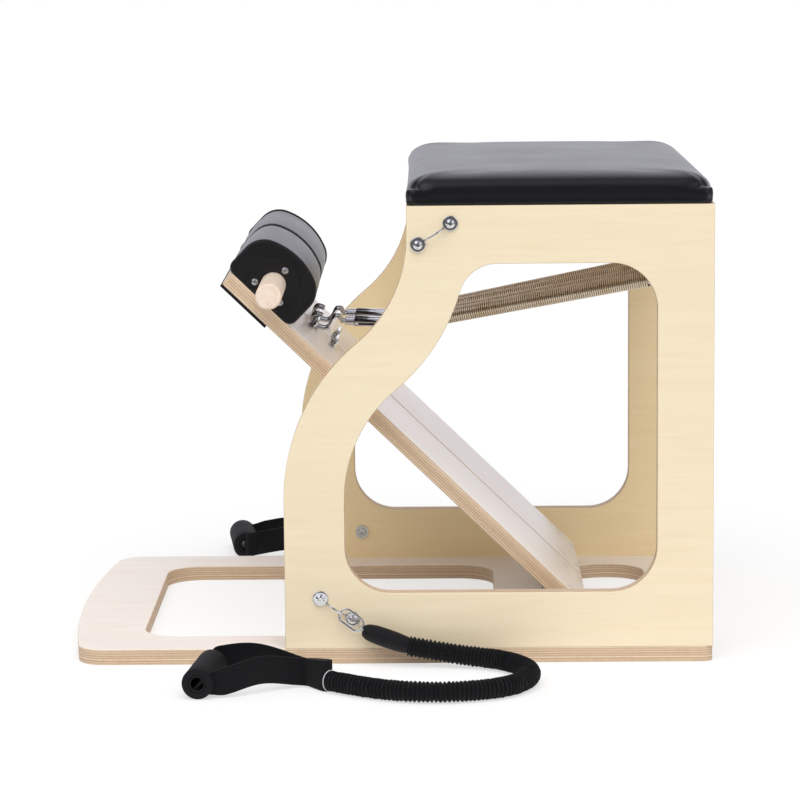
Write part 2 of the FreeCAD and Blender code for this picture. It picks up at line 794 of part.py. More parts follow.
def make_pivot():
    """The fixed pedal axle in three pillow blocks on the base's cross strip."""
    axle = cylinder("pivot_axle", d.axle_diameter / 2, axle_length, "y",
                    axle_x, -axle_length / 2, d.axle_height)
    node(axle)
    blocks = []
    width, rise = d.pillow_width, d.axle_height - base_top
    for name, y in (("near", -pillow_spread), ("middle", Size.of(0)), ("far", pillow_spread)):
        low = y - width / 2
        foot = box(f"pillow_foot_{name}", d.pillow_foot, width, d.pillow_foot_height,
                   axle_x - d.pillow_foot / 2, low, base_top)
        neck = box(f"pillow_neck_{name}", d.pillow_radius * 2, width, rise,
                   axle_x - d.pillow_radius, low, base_top)
        crown = cylinder(f"pillow_crown_{name}", d.pillow_radius, width, "y", axle_x, low, d.axle_height)
        whole = combine("MultiFuse", f"pillow_solid_{name}", [foot, neck, crown])
        bore = cylinder(f"pillow_bore_{name}", d.axle_diameter / 2, width, "y", axle_x, low, d.axle_height)
        blocks.append(combine("Cut", f"pillow_{name}", (whole, bore)))
    node(combine("Compound", "pillow_blocks", blocks))
    top = base_top.value + d.pillow_foot_height.value
    head = (d.screw_head_diameter.value - d.screw_diameter.value) / 2
    screw = screw_shape(d.short_screw_length.value, head)
    reach = (d.pillow_foot.value / 2 + d.pillow_radius.value) / 2
    shapes = [
        placed(screw, Vector(axle_x.value + side * reach, y * pillow_spread.value, top))
        for y in (-1, 0, 1) for side in (-1, 1)
    ]
    node(solid_feature("pillow_screws", Part.makeCompound(shapes)))


# Wire bails
def tube(path_edges, radius, normal=None):
    """A round bar along edges that join smoothly."""
    wire = Part.Wire(path_edges)
    edge = wire.Edges[0]
    start, heading = edge.valueAt(edge.FirstParameter), edge.tangentAt(edge.FirstParameter)
    section = Part.Wire(Part.Circle(start, heading, radius).toShape())
    return wire.makePipeShell([section], True, False)


def make_bails(label, side):
    """Two bent-wire bails whose end eyes are held down by washers and button-head bolts."""
    face = side * half_width.value
    wire, ring = d.bail_wire.value / 2, (d.bail_eye_diameter - d.bail_wire).value / 2
    out = Vector(0, side, 0)
    shapes = []
    for (x0, z0), (x1, z1) in bail_screw_places():
        first = Vector(x0.value, face, z0.value) + out * wire
        last = Vector(x1.value, face, z1.value) + out * wire
        along = (last - first).normalize()
        eyes = [Part.makeTorus(ring, wire, centre, out) for centre in (first, last)]
        beyond = along * (ring + 0.8 * wire)
        start, end = first + beyond, last - beyond
        middle = (start + end) * 0.5 + out * (d.bail_reach.value - 2 * wire)
        bow = tube([Part.Arc(start, middle, end).toShape()], wire)
        shapes.append(eyes[0].fuse([bow, eyes[1]]))
    return node(solid_feature(label, Part.makeCompound(shapes)))


def make_bail_hardware():
    """Through bolts with washers outside and flanged nuts inside, eight of each."""
    shank, head = d.bail_bolt_diameter.value / 2, d.bail_head_diameter.value / 2
    washer_low = d.bail_wire.value
    washer_top = washer_low + d.bail_washer_thickness.value
    thickness = d.ply_thickness.value
    nut, nut_height = d.bail_nut_diameter.value / 2, d.bail_nut_height.value
    rod = Part.makeCylinder(shank, thickness + washer_top, Vector(0, 0, -thickness))
    cap = Part.makeSphere(head * 1.25, Vector(0, 0, washer_top + d.bail_head_height.value - head * 1.25))
    cap = cap.common(Part.makeCylinder(head, d.bail_head_height.value, Vector(0, 0, washer_top)))
    key = Part.makePolygon([
        Vector(head * 0.42 * math.cos(math.radians(60 * k)), head * 0.42 * math.sin(math.radians(60 * k)),
               washer_top + d.bail_head_height.value * 0.4) for k in range(7)
    ])
    key_cut = Part.Face(Part.Wire(key)).extrude(Vector(0, 0, d.bail_head_height.value))
    washer = Part.makeCylinder(d.bail_washer_diameter.value / 2, d.bail_washer_thickness.value,
                               Vector(0, 0, washer_low))
    bolt = rod.fuse([washer, cap]).cut(key_cut)
    flange = Part.makeCylinder(nut, nut_height, Vector(0, 0, -thickness - nut_height))
    dome = Part.makeCone(nut * 0.55, nut * 0.7, nut_height * 0.7, Vector(0, 0, -thickness - nut_height * 1.7))
    drive = Part.makeCylinder(nut * 0.32, nut_height * 1.2, Vector(0, 0, -thickness - nut_height * 1.7))
    cap_nut = flange.fuse(dome).cut(drive)
    bolts, nuts = [], []
    for side in (-1, 1):
        for pair in bail_screw_places():
            for x, z in pair:
                point = Vector(x.value, side * half_width.value, z.value)
                bolts.append(placed(bolt, point, Vector(0, side, 0)))
                nuts.append(placed(cap_nut, point, Vector(0, side, 0)))
    node(solid_feature("bail_bolts", Part.makeCompound(bolts)))
    node(solid_feature("bail_nuts", Part.makeCompound(nuts)))


# Pedals
pad_radius = d.pad_length / 2
pad_middle = pad_radius - d.pedal_length - d.pad_overhang
dowel_along = d.dowel_from_tip - d.pedal_length
pedal_sine, pedal_cosine = sine(d.pedal_angle), cosine(d.pedal_angle)
axle_run, axle_rise = axle_x - pedal_x, d.axle_height - d.pedal_end_height
axle_along = axle_run * pedal_cosine - axle_rise * pedal_sine
axle_below = axle_run * pedal_sine + axle_rise * pedal_cosine
bush_bore = d.axle_diameter / 2 + d.running_clearance
bush_radius = bush_bore + d.bush_wall


def pedal_solid(label, shape):
    """A sub-part drawn in the pedal's frame."""
    return node(on_pedal(solid_feature(label, shape)))


def crowned_outline(sketch, inset, corner):
    """A pad's section on the pedal's top face, inset from its skin: flat base, upright sides and a domed top."""
    half, height = pad_radius - inset, d.pad_height - inset
    dome, shoulder = d.pad_crown_radius - inset, d.pad_shoulder_radius - inset
    middle, hw, c, r = pad_middle.value, half.value, corner.value, shoulder.value
    dome_z = height - dome
    reach = math.sqrt((dome - shoulder).value ** 2 - (half - shoulder).value ** 2)
    z = dome_z.value + reach
    lean = math.degrees(math.atan2(reach, hw - r))
    base = line(sketch, (middle - hw + c, 0), (middle + hw - c, 0))
    rear_corner = arc(sketch, (middle + hw - c, c), c, 270, 360)
    rear = line(sketch, (middle + hw, c), (middle + hw, z))
    rear_shoulder = arc(sketch, (middle + hw - r, z), r, 0, lean)
    crown = arc(sketch, (middle, dome_z.value), dome.value, lean, 180 - lean)
    front_shoulder = arc(sketch, (middle - hw + r, z), r, 180 - lean, 180)
    front = line(sketch, (middle - hw, z), (middle - hw, c))
    front_corner = arc(sketch, (middle - hw + c, c), c, 180, 270)
    chain = [base, rear_corner, rear, rear_shoulder, crown, front_shoulder, front, front_corner]
    for first, second in zip(chain, chain[1:] + chain[:1]):
        sketch.addConstraint(Sketcher.Constraint("Tangent", first, END, second, START))
    sketch.addConstraint(Sketcher.Constraint("Horizontal", base))
    for edge in (rear, front):
        sketch.addConstraint(Sketcher.Constraint("Vertical", edge))
    for edges, radius in (((rear_corner, front_corner), corner), ((rear_shoulder, front_shoulder), shoulder),
                          ((crown,), dome)):
        for edge in edges:
            hold_radius(sketch, edge, radius)
    sketch.addConstraint(Sketcher.Constraint("PointOnObject", base, START, -1))
    hold(sketch, "DistanceX", crown, CENTRE, pad_middle)
    hold(sketch, "DistanceY", crown, CENTRE, dome_z)
    hold(sketch, "DistanceX", rear, START, pad_middle + half)
    hold(sketch, "DistanceX", front, START, pad_middle - half)


def flange_outline(sketch):
    """The disc round the dowel's hole, cut off level just above the pedal's top face."""
    radius, base = d.cap_flange_diameter / 2, d.cap_flange_base
    drop = (d.dowel_above_board - base).value
    half = math.sqrt(radius.value ** 2 - drop ** 2)
    cut = math.degrees(math.asin(drop / radius.value))
    middle = dowel_along.value
    rim = arc(sketch, (middle, d.dowel_above_board.value), radius.value, -cut, 180 + cut)
    flat = line(sketch, (middle - half, base.value), (middle + half, base.value))
    sketch.addConstraint(Sketcher.Constraint("Coincident", rim, END, flat, START))
    sketch.addConstraint(Sketcher.Constraint("Coincident", flat, END, rim, START))
    sketch.addConstraint(Sketcher.Constraint("Horizontal", flat))
    hold_radius(sketch, rim, radius)
    hold(sketch, "DistanceX", rim, CENTRE, dowel_along)
    hold(sketch, "DistanceY", rim, CENTRE, d.dowel_above_board)
    hold(sketch, "DistanceY", flat, START, base)


def make_roller(name, side):
    """The padded roller on the pedal's upper end: wooden core, soft arch over it, and an outer end cap."""
    inner_y = side * d.pedal_gap / 2
    cap_y = side * (pedal_outer - d.end_cap_thickness)
    run = pedal_width - d.end_cap_thickness
    bore = d.dowel_diameter / 2 + d.dowel_clearance

    core = new_body(name + "_roller_core")
    profile = new_sketch(core, "XZ_Plane", name + "_core_profile")
    crowned_outline(profile, d.pad_wall, d.core_corner_radius)
    hole(profile, dowel_along, d.dowel_above_board, bore)
    pad(core, profile, run, reverse=side > 0)
    node(on_pedal(core, inner_y))

    soft = new_body(name + "_roller_pad")
    profile = new_sketch(soft, "XZ_Plane", name + "_pad_profile")
    crowned_outline(profile, Size.of(0), d.pad_corner_radius)
    pad(soft, profile, run, reverse=side > 0)
    inside = new_sketch(soft, "XZ_Plane", name + "_pad_inside")
    crowned_outline(inside, d.pad_wall, d.core_corner_radius)
    pocket(soft, inside, run, reverse=side < 0)
    node(on_pedal(soft, inner_y))

    cap = new_body(name + "_end_cap")
    profile = new_sketch(cap, "XZ_Plane", name + "_cap_profile")
    crowned_outline(profile, Size.of(0), d.pad_corner_radius)
    hole(profile, dowel_along, d.dowel_above_board, bore)
    pad(cap, profile, d.end_cap_thickness, reverse=side > 0)
    raised = new_sketch(cap, "XZ_Plane", name + "_cap_flange")
    flange_outline(raised)
    hole(raised, dowel_along, d.dowel_above_board, bore)
    pad(cap, raised, d.end_cap_thickness + d.cap_flange_thickness, reverse=side > 0)
    node(on_pedal(cap, cap_y))

    screw = pan_screw_shape(d.cap_screw_length.value)
    reach = d.cap_screw_circle.value / 2
    turns = [math.radians(d.cap_screw_angle.value + third * 120) for third in range(3)]
    face = side * (pedal_outer.value + d.cap_flange_thickness.value)
    shapes = [
        placed(screw, Vector(dowel_along.value + reach * math.cos(turn), face,
                             d.dowel_above_board.value + reach * math.sin(turn)), Vector(0, side, 0))
        for turn in turns
    ]
    pedal_solid(name + "_cap_screws", Part.makeCompound(shapes))


def make_pedal_board(name, side):
    body = new_body(name + "_pedal_board")
    outline = new_sketch(body, "XY_Plane", name + "_board_outline")
    low, high = sorted((side * d.pedal_gap / 2, side * pedal_outer), key=float)
    rounded_rectangle(outline, -d.pedal_length, Size.of(0), low, high,
                      d.pedal_corner_radius, d.pedal_corner_radius)
    pad(body, outline, d.pedal_thickness, reverse=True)
    round_edges(body, d.board_edge_radius, lambda e: lies_flat(e, "Z", (Size.of(0), -d.pedal_thickness)))
    node(on_pedal(body))
    bumper_low = low + d.bumper_inset
    bumper = box(name + "_bumper_strip", d.bumper_length, pedal_width - d.bumper_inset * 2,
                 d.bumper_thickness, -d.pedal_length, bumper_low, -d.pedal_thickness - d.bumper_thickness)
    node(on_pedal(combine("Compound", name + "_bumper", [bumper])))


def hinge_places(side):
    """The middles across of a pedal's two hinge blocks."""
    return [side * d.hinge_block_first, side * (pedal_outer - d.hinge_block_from_edge)]


def make_hinge(name, side):
    """Two blocks under the pedal, each with a bronze bush that runs on the axle."""
    blocks, bushes = [], []
    width, under = d.hinge_block_width, -d.pedal_thickness
    for place_name, y in zip(("inner", "outer"), hinge_places(side)):
        tag, low = f"{name}_{place_name}", y - width / 2
        flange = box(f"{tag}_flange", d.hinge_block_length, width, d.hinge_flange,
                     axle_along - d.hinge_block_length / 2, low, under - d.hinge_flange)
        neck = box(f"{tag}_neck", d.hinge_block_radius * 2, width, under - axle_below,
                   axle_along - d.hinge_block_radius, low, axle_below)
        crown = cylinder(f"{tag}_crown", d.hinge_block_radius, width, "y", axle_along, low, axle_below)
        whole = combine("MultiFuse", f"{tag}_solid", [flange, neck, crown])
        bore = cylinder(f"{tag}_bore", bush_radius, width, "y", axle_along, low, axle_below)
        blocks.append(combine("Cut", f"{tag}_block", (whole, bore)))
        sleeve = cylinder(f"{tag}_sleeve", bush_radius, width, "y", axle_along, low, axle_below)
        inside = cylinder(f"{tag}_inside", bush_bore, width, "y", axle_along, low, axle_below)
        bushes.append(combine("Cut", f"{tag}_bush", (sleeve, inside)))
    node(on_pedal(combine("Compound", name + "_hinge_blocks", blocks)))
    node(on_pedal(combine("Compound", name + "_hinge_bushes", bushes)))


def make_loop(label, along, side):
    """A footman loop: a raised round bar on a screw plate, square across the pedal."""
    middle, half_span, r = side * d.loop_centre.value, d.loop_span.value / 2, d.loop_bend_radius.value
    top, foot = d.loop_height.value, d.loop_plate_thickness.value / 2
    bend = r * (1 - math.cos(math.radians(45)))

    def at(y, z):
        return Vector(along, middle + y, z)

    path = [
        Part.makeLine(at(-half_span, foot), at(-half_span, top - r)),
        Part.Arc(at(-half_span, top - r), at(bend - half_span, top - bend), at(r - half_span, top)).toShape(),
        Part.makeLine(at(r - half_span, top), at(half_span - r, top)),
        Part.Arc(at(half_span - r, top), at(half_span - bend, top - bend), at(half_span, top - r)).toShape(),
        Part.makeLine(at(half_span, top - r), at(half_span, foot)),
    ]
    length, width = d.loop_plate_length.value, d.loop_plate_width.value
    plate = Part.makeBox(width, length, d.loop_plate_thickness.value,
                         Vector(along - width / 2, middle - length / 2, 0))
    uprights = [e for e in plate.Edges if abs(e.tangentAt(e.FirstParameter).z) > 0.9]
    plate = plate.makeFillet(width * 0.45, uprights)
    pedal_solid(label, tube(path, d.loop_wire.value / 2).fuse(plate))


def make_pedal_screws(name, side):
    """Screws through the pedal into its hinge blocks, through the loop plates, and up into the roller core."""
    head = (d.screw_head_diameter.value - d.screw_diameter.value) / 2
    block_screw = screw_shape(d.pedal_screw_length.value, head)
    loop_screw = screw_shape(d.short_screw_length.value, head)
    core_screw = screw_shape(d.screw_length.value, head)
    reach = (bush_radius.value + d.hinge_block_radius.value + d.screw_diameter.value) / 2
    shapes = [
        placed(block_screw, Vector(axle_along.value + end * reach, y.value, 0))
        for y in hinge_places(side) for end in (-1, 1)
    ]
    plate_end = d.loop_plate_length.value / 2 - d.loop_plate_width.value / 2
    for along in (loop_along.value, loop_along.value + d.loop_step.value):
        for end in (-1, 1):
            y = side * d.loop_centre.value + end * plate_end
            shapes.append(placed(loop_screw, Vector(along, y, d.loop_plate_thickness.value)))
    edge = (d.dowel_diameter.value / 2 + pad_radius.value - d.pad_wall.value) / 2
    middle = side * (d.pedal_gap.value + pedal_width.value) / 2
    for end in (-1, 1):
        point = Vector(pad_middle.value + end * edge, middle, -d.pedal_thickness.value)
        shapes.append(placed(core_screw, point, Vector(0, 0, -1)))
    pedal_solid(name + "_pedal_screws", Part.makeCompound(shapes))


def make_pedal(name, side):
    make_pedal_board(name, side)
    make_roller(name, side)
    make_hinge(name, side)
    make_loop(name + "_upper_loop", loop_along.value, side)
    make_loop(name + "_lower_loop", loop_along.value + d.loop_step.value, side)
    make_pedal_screws(name, side)


def make_dowel():
    """The hardwood dowel that locks the two pedals together, pushed through both rollers."""
    x = pedal_x + dowel_along * pedal_cosine + d.dowel_above_board * pedal_sine
    z = d.pedal_end_height - dowel_along * pedal_sine + d.dowel_above_board * pedal_cosine
    rod = cylinder("dowel_rod", d.dowel_diameter / 2, d.dowel_length, "y", x, -d.dowel_length / 2, z)
    doc.recompute()
    rounded = doc.addObject("Part::Fillet", "link_dowel")
    rounded.Label = "link_dowel"
    rounded.Base = rod
    radius = d.dowel_end_radius.value
    rounded.Edges = [
        (index, radius, radius) for index, edge in enumerate(rod.Shape.Edges, start=1)
        if isinstance(edge.Curve, Part.Circle)
    ]
    node(rounded)


# Springs and their connectors
rear_point = Vector(spring_bar_x.value, 0, d.spring_bar_height.value)
loop_point = pedal_point(loop_along.value, 0, d.loop_height.value)
connector = Rotation(Vector(0, 1, 0), d.hook_slope.value).multVec(Vector(1, 0, 0))
bow_half = (d.hook_bow_width.value - d.hook_wire.value) / 2
bow_run = d.hook_bow_length.value - d.hook_bow_width.value
collar_start = bow_run + bow_half
tube_start = collar_start + d.hook_collar_length.value + d.hook_tube_gap.value
coil_start = tube_start + d.tube_length.value


def spring_lines(side):
    """Each spring's name with its places across at the pedal and at the spring bar."""
    front = [d.loop_centre.value + end * d.hook_spacing.value / 2 for end in (-1, 1)]
    rear = [d.coil_rear_spacing.value * (number + 0.5) for number in range(2)]
    return [(name, side * f, side * r) for name, f, r in zip(("inner", "outer"), front, rear)]


def frame_at(point, direction):
    """A placement whose +Z runs along a direction, with its +X kept level."""
    ahead = Vector(direction).normalize()
    level = Vector(0, 1, 0).cross(ahead).normalize()
    return Placement(point, Rotation(level, ahead.cross(level), ahead, "ZXY"))


def biarc(start, start_way, end, end_way):
    """Two arcs that leave one point and reach another along given directions, smoothly joined."""
    span, ways = end - start, start_way + end_way
    bend = 2 * (1 - start_way.dot(end_way))
    reach = (math.sqrt(span.dot(ways) ** 2 + bend * span.dot(span)) - span.dot(ways)) / bend
    joint = (start + start_way * reach + end - end_way * reach) * 0.5
    return [arc_from(start, start_way, joint), arc_from(end, end_way * -1, joint, turned=True)]


def arc_from(start, way, end, turned=False):
    """The arc that leaves a point along a direction and ends at another point."""
    chord = end - start
    side = (chord - way * chord.dot(way)).normalize()
    centre = start + side * (chord.dot(chord) / (2 * chord.dot(side)))
    spoke = ((start - centre) + (end - centre)).normalize()
    middle = centre + spoke * (start - centre).Length
    ends = (end, middle, start) if turned else (start, middle, end)
    return Part.Arc(*ends).toShape()


def coil_shape(start, end):
    """One unbroken wire wound round the line between two points."""
    length, turns = (end - start).Length, int(d.coil_turns.value)
    radius = (d.coil_diameter.value - d.coil_wire.value) / 2
    frame = frame_at(start, end - start)
    pitch = length / turns

    def point(half_turn):
        angle = math.pi * half_turn
        return frame.multVec(Vector(radius * math.cos(angle), radius * math.sin(angle), pitch * half_turn / 2))

    def way(half_turn):
        angle = math.pi * half_turn
        rise = pitch / (2 * math.pi)
        tangent = Vector(-radius * math.sin(angle), radius * math.cos(angle), rise)
        return frame.Rotation.multVec(tangent.normalize())

    edges = []
    for half in range(2 * turns):
        edges += biarc(point(half), way(half), point(half + 1), way(half + 1))
    lean = math.atan2(pitch, 2 * math.pi * radius)
    gap = pitch * math.cos(lean) - d.coil_wire.value
    return tube(edges, d.coil_wire.value / 2), gap


def plug_shape():
    """A flange and the spigot that the coil is pressed over, along +Z."""
    spigot = d.coil_diameter.value / 2 - d.coil_wire.value - d.coil_seat_clearance.value
    flange = Part.makeCylinder(d.coil_diameter.value / 2, d.plug_flange.value)
    return flange.fuse(Part.makeCylinder(spigot, d.plug_flange.value + d.plug_length.value))


def make_springs():
    """Four springs that fan out from the pedals' loops to the spring bar."""
    ends, eyes, gaps = [], [], []
    seat = d.plug_flange.value + d.coil_wire.value / 2 + d.coil_seat_clearance.value
    for name, side in (("near", -1), ("far", 1)):
        for place_name, front_y, rear_y in spring_lines(side):
            mouth = loop_point + connector * tube_start + Vector(0, front_y, 0)
            knee = loop_point + connector * coil_start + Vector(0, front_y, 0)
            anchor = rear_point + Vector(0, rear_y, 0)
            way = (anchor - knee).normalize()
            coil, gap = coil_shape(knee + way * seat, anchor - way * (d.eye_reach.value + seat))
            gaps.append(gap)
            node(solid_feature(f"{name}_{place_name}_spring", coil))
            ends.append(front_end(mouth, knee, way))
            eyes.append(rear_eye(anchor, way))
    node(solid_feature("spring_ends", Part.makeCompound(ends)))
    node(solid_feature("spring_eyes", Part.makeCompound(eyes)))
    print("least gap between a coil's turns, mm:", round(min(gaps), 2))


def front_end(mouth, knee, way):
    """The chrome tube with its blind bore, and the plug in the front of a coil."""
    body = Part.makeCylinder(d.tube_diameter.value / 2, d.tube_length.value + d.plug_flange.value / 2)
    bore = Part.makeCylinder(d.tube_bore.value / 2, d.tube_bore_depth.value)
    body.Placement = bore.Placement = frame_at(mouth, connector)
    plug = plug_shape()
    plug.Placement = frame_at(knee, way)
    return body.fuse(plug).cut(bore)


def rear_eye(anchor, way):
    """The plug in the rear of a coil, with its stem and the eye round the spring bar."""
    plug = plug_shape()
    plug.Placement = frame_at(anchor - way * d.eye_reach.value, way * -1)
    ring = (d.spring_bar_diameter.value + d.eye_wire.value) / 2 + d.eye_clearance.value
    eye = Part.makeTorus(ring, d.eye_wire.value / 2, anchor, Vector(0, 1, 0))
    stem = Part.makeCylinder(d.eye_wire.value / 2, d.eye_reach.value - ring)
    stem.Placement = frame_at(anchor - way * d.eye_reach.value, way)
    return plug.fuse([stem, eye])


def hook_shapes():
    """A snap hook round the loop's bar with its shank along +Z, and its gate as a second solid."""
    wire, run = d.hook_wire.value / 2, bow_run
    straight = [
        Part.makeLine(Vector(-bow_half, 0, 0), Vector(-bow_half, 0, run)),
        Part.Arc(Vector(-bow_half, 0, run), Vector(0, 0, run + bow_half), Vector(bow_half, 0, run)).toShape(),
        Part.makeLine(Vector(bow_half, 0, run), Vector(bow_half, 0, 0)),
        Part.Arc(Vector(bow_half, 0, 0), Vector(0, 0, -bow_half), Vector(-bow_half, 0, 0)).toShape(),
    ]
    bow = tube(straight, wire)
    width = d.hook_wire.value + 2 * d.hook_gate_clearance.value
    opening = Part.makeBox(width, width, d.hook_gate_length.value)
    opening.translate(Vector(bow_half - width / 2, -width / 2, (run - d.hook_gate_length.value) / 2))
    gate = Part.makeCylinder(wire * 0.82, d.hook_gate_length.value,
                             Vector(bow_half, 0, (run - d.hook_gate_length.value) / 2))
    collar = Part.makeCylinder(d.hook_collar_diameter.value / 2, d.hook_collar_length.value,
                               Vector(0, 0, collar_start))
    shank = Part.makeCylinder(d.hook_shank_diameter.value / 2, d.hook_shank_length.value,
                              Vector(0, 0, collar_start + d.hook_collar_length.value))
    return bow.fuse([collar, shank]).cut(opening), gate


def make_hooks(name, side):
    shapes = []
    for _, front_y, _ in spring_lines(side):
        frame = frame_at(loop_point + Vector(0, front_y, 0), connector)
        for shape in hook_shapes():
            shape.Placement = frame.multiply(shape.Placement)
            shapes.append(shape)
    node(solid_feature(name + "_snap_hooks", Part.makeCompound(shapes)))


# Resistance cords, on the near side; the far side mirrors them
def beside(x, out, z):
    """A point at its distance out from the near panel's outer face."""
    return Vector(x, -half_width.value - out, z)


CORD_ROUTE = [
    beside(27, 21, 27), beside(85, 18, 15), beside(154, 46, 13.2), beside(183, 115, 13.2),
    beside(154, 184, 13.2), beside(85, 213, 13.2), beside(20, 207, 13.2), beside(-30, 180, 13.2),
    beside(-69, 147, 13.2),
]
FERRULE_TOP = beside(-23.9, 15, 43.6)
GRIP_ENDS = (beside(-225, 189, 19.2), beside(-213, 80, 19.2))
STRAP_MIDDLE_HEIGHT = 17.6
ARC_SHARE = 0.45


def rounded_route(points):
    """Straight runs joined by tangent arcs as large as the runs allow, with the arcs' radii."""
    edges, radii, last = [], [], points[0]
    for before, corner, after in zip(points, points[1:], points[2:]):
        back, ahead = (before - corner), (after - corner)
        cut = ARC_SHARE * min(back.Length, ahead.Length)
        first, second = corner + back.normalize() * cut, corner + ahead.normalize() * cut
        half = (back * -1).getAngle(ahead) / 2
        radius = cut / math.tan(half)
        bisector = (back + ahead).normalize()
        middle = corner + bisector * (radius / math.cos(half) - radius)
        edges.append(Part.makeLine(last, first))
        edges.append(Part.Arc(first, middle, second).toShape())
        radii.append(radius)
        last = second
    edges.append(Part.makeLine(last, points[-1]))
    return edges, radii


def flat_strip(start, end, height, middle_height, thickness):
    """A strip of webbing that stands on edge between two points."""
    run = Vector(end.x - start.x, end.y - start.y, 0)
    strip = Part.makeBox(run.Length, thickness, height, Vector(0, -thickness / 2, -height / 2))
    turn = math.degrees(math.atan2(run.y, run.x))
    strip.Placement = Placement(Vector(start.x, start.y, middle_height), Rotation(Vector(0, 0, 1), turn)).multiply(
        strip.Placement)
    return strip


def cord_ring_and_ferrule():
    """The oval ring through the lower bail's bow, and the lugged ferrule crimped on the cord."""
    (x0, z0), (x1, z1) = bail_screw_places()[1]
    out = -half_width.value - d.ring_stand_off.value
    along = Vector(x1.value - x0.value, 0, z1.value - z0.value).normalize()
    bow_middle = Vector((x0.value + x1.value) / 2, out, (z0.value + z1.value) / 2)
    hang = bow_middle + along * d.ring_from_bow_middle.value
    way = (FERRULE_TOP - hang).normalize()
    wire = d.ring_wire.value / 2
    half = d.ring_width.value / 2 - wire
    run = d.ring_length.value - d.ring_width.value
    across = Vector(0, 1, 0).cross(way).normalize()
    top = hang - way * d.ring_overhang.value + way * half
    bottom = top + way * run
    edges = [
        Part.makeLine(top + across * half, bottom + across * half),
        Part.Arc(bottom + across * half, bottom + way * half, bottom - across * half).toShape(),
        Part.makeLine(bottom - across * half, top - across * half),
        Part.Arc(top - across * half, top - way * half, top + across * half).toShape(),
    ]
    ring = tube(edges, wire)
    lug_radius, lug_wire = d.lug_diameter.value / 2, d.lug_wire.value / 2
    lug = Part.makeTorus(lug_radius, lug_wire, bottom + way * (half + d.lug_drop.value), across)
    tail = CORD_ROUTE[0]
    neck = bottom + way * (half + d.lug_drop.value + lug_radius)
    sleeve = Part.makeCone(d.ferrule_mouth_diameter.value / 2, d.ferrule_tail_diameter.value / 2,
                           (tail - neck).Length)
    sleeve.Placement = frame_at(neck, tail - neck)
    return ring, sleeve.fuse(lug)


def strap_and_grip():
    """A webbing loop sewn to the cord's end, and the foam grip that it runs through."""
    end, before = CORD_ROUTE[-1], CORD_ROUTE[-2]
    way = Vector(end.x - before.x, end.y - before.y, 0).normalize()
    fork = end + way * d.strap_box_length.value
    height, thickness = d.strap_height.value, d.strap_thickness.value
    pieces = [flat_strip(end, fork, height, STRAP_MIDDLE_HEIGHT, d.strap_box_thickness.value)]
    first, second = GRIP_ENDS
    axis = (second - first).normalize()
    square = Vector(axis.y, -axis.x, 0)
    clear = d.strap_end_gap.value + thickness / 2
    corners = []
    for point, outward in ((first, axis * -1), (second, axis)):
        turn = point + outward * clear
        shoulder = turn + square * (d.grip_diameter.value / 2 + clear)
        pieces.append(flat_strip(fork, shoulder, height, STRAP_MIDDLE_HEIGHT, thickness))
        pieces.append(flat_strip(shoulder, turn, height, STRAP_MIDDLE_HEIGHT, thickness))
        corners.append(turn)
    pieces.append(flat_strip(corners[0], corners[1], d.strap_core_height.value, first.z, thickness))
    strap = pieces[0].fuse(pieces[1:])
    outer = Part.makeCylinder(d.grip_diameter.value / 2, (second - first).Length)
    bore = Part.makeCylinder(d.grip_bore.value / 2, (second - first).Length)
    grip = outer.cut(bore)
    grip.Placement = frame_at(first, axis)
    return strap, grip


def make_cords():
    edges, radii = rounded_route(CORD_ROUTE)
    radius = d.cord_diameter.value / 2
    cord = tube(edges, radius)
    length = sum(edge.Length for edge in edges)
    ring, ferrule = cord_ring_and_ferrule()
    strap, grip = strap_and_grip()
    print("cord length, mm:", round(length, 1), "radii, mm:", [round(r) for r in radii])
    print("cord volume over section times length:", round(cord.Volume / (math.pi * radius ** 2 * length), 4))
    pieces = {"cord_ring": ring, "cord_ferrule": ferrule, "cord": cord, "strap": strap, "grip": grip}
    for label, shape in pieces.items():
        node(solid_feature("near_" + label, shape))
        node(solid_feature("far_" + label, shape.mirror(Vector(), Vector(0, 1, 0))))


def check_and_write():
    """Stops on any failed object or shape, then writes one file for each sub-part."""
    doc.recompute()
    for item in doc.Objects:
        if {"Invalid", "Error"} & set(item.State):
            raise ValueError(f"{item.Label} failed: {item.State}")
    for item in nodes:
        if item.Shape.isNull() or not item.Shape.isValid():
            raise ValueError(f"{item.Label} has no valid shape")
    os.makedirs("parts", exist_ok=True)
    for item in nodes:
        item.Shape.exportStep(f"parts/{item.Label}.step")
    print(len(nodes), "sub-parts written")


make_base_board()
make_side_panel("near_side_panel", -1)
make_side_panel("far_side_panel", 1)
cleat_start = make_seat()
make_wood_screws(cleat_start)
make_spring_bar()
make_pivot()
make_bails("near_bails", -1)
make_bails("far_bails", 1)
make_bail_hardware()
make_pedal("near", -1)
make_pedal("far", 1)
make_dowel()
make_springs()
make_hooks("near", -1)
make_hooks("far", 1)
make_cords()
check_and_write()
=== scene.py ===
"""The looks of a pilates chair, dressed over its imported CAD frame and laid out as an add-on."""

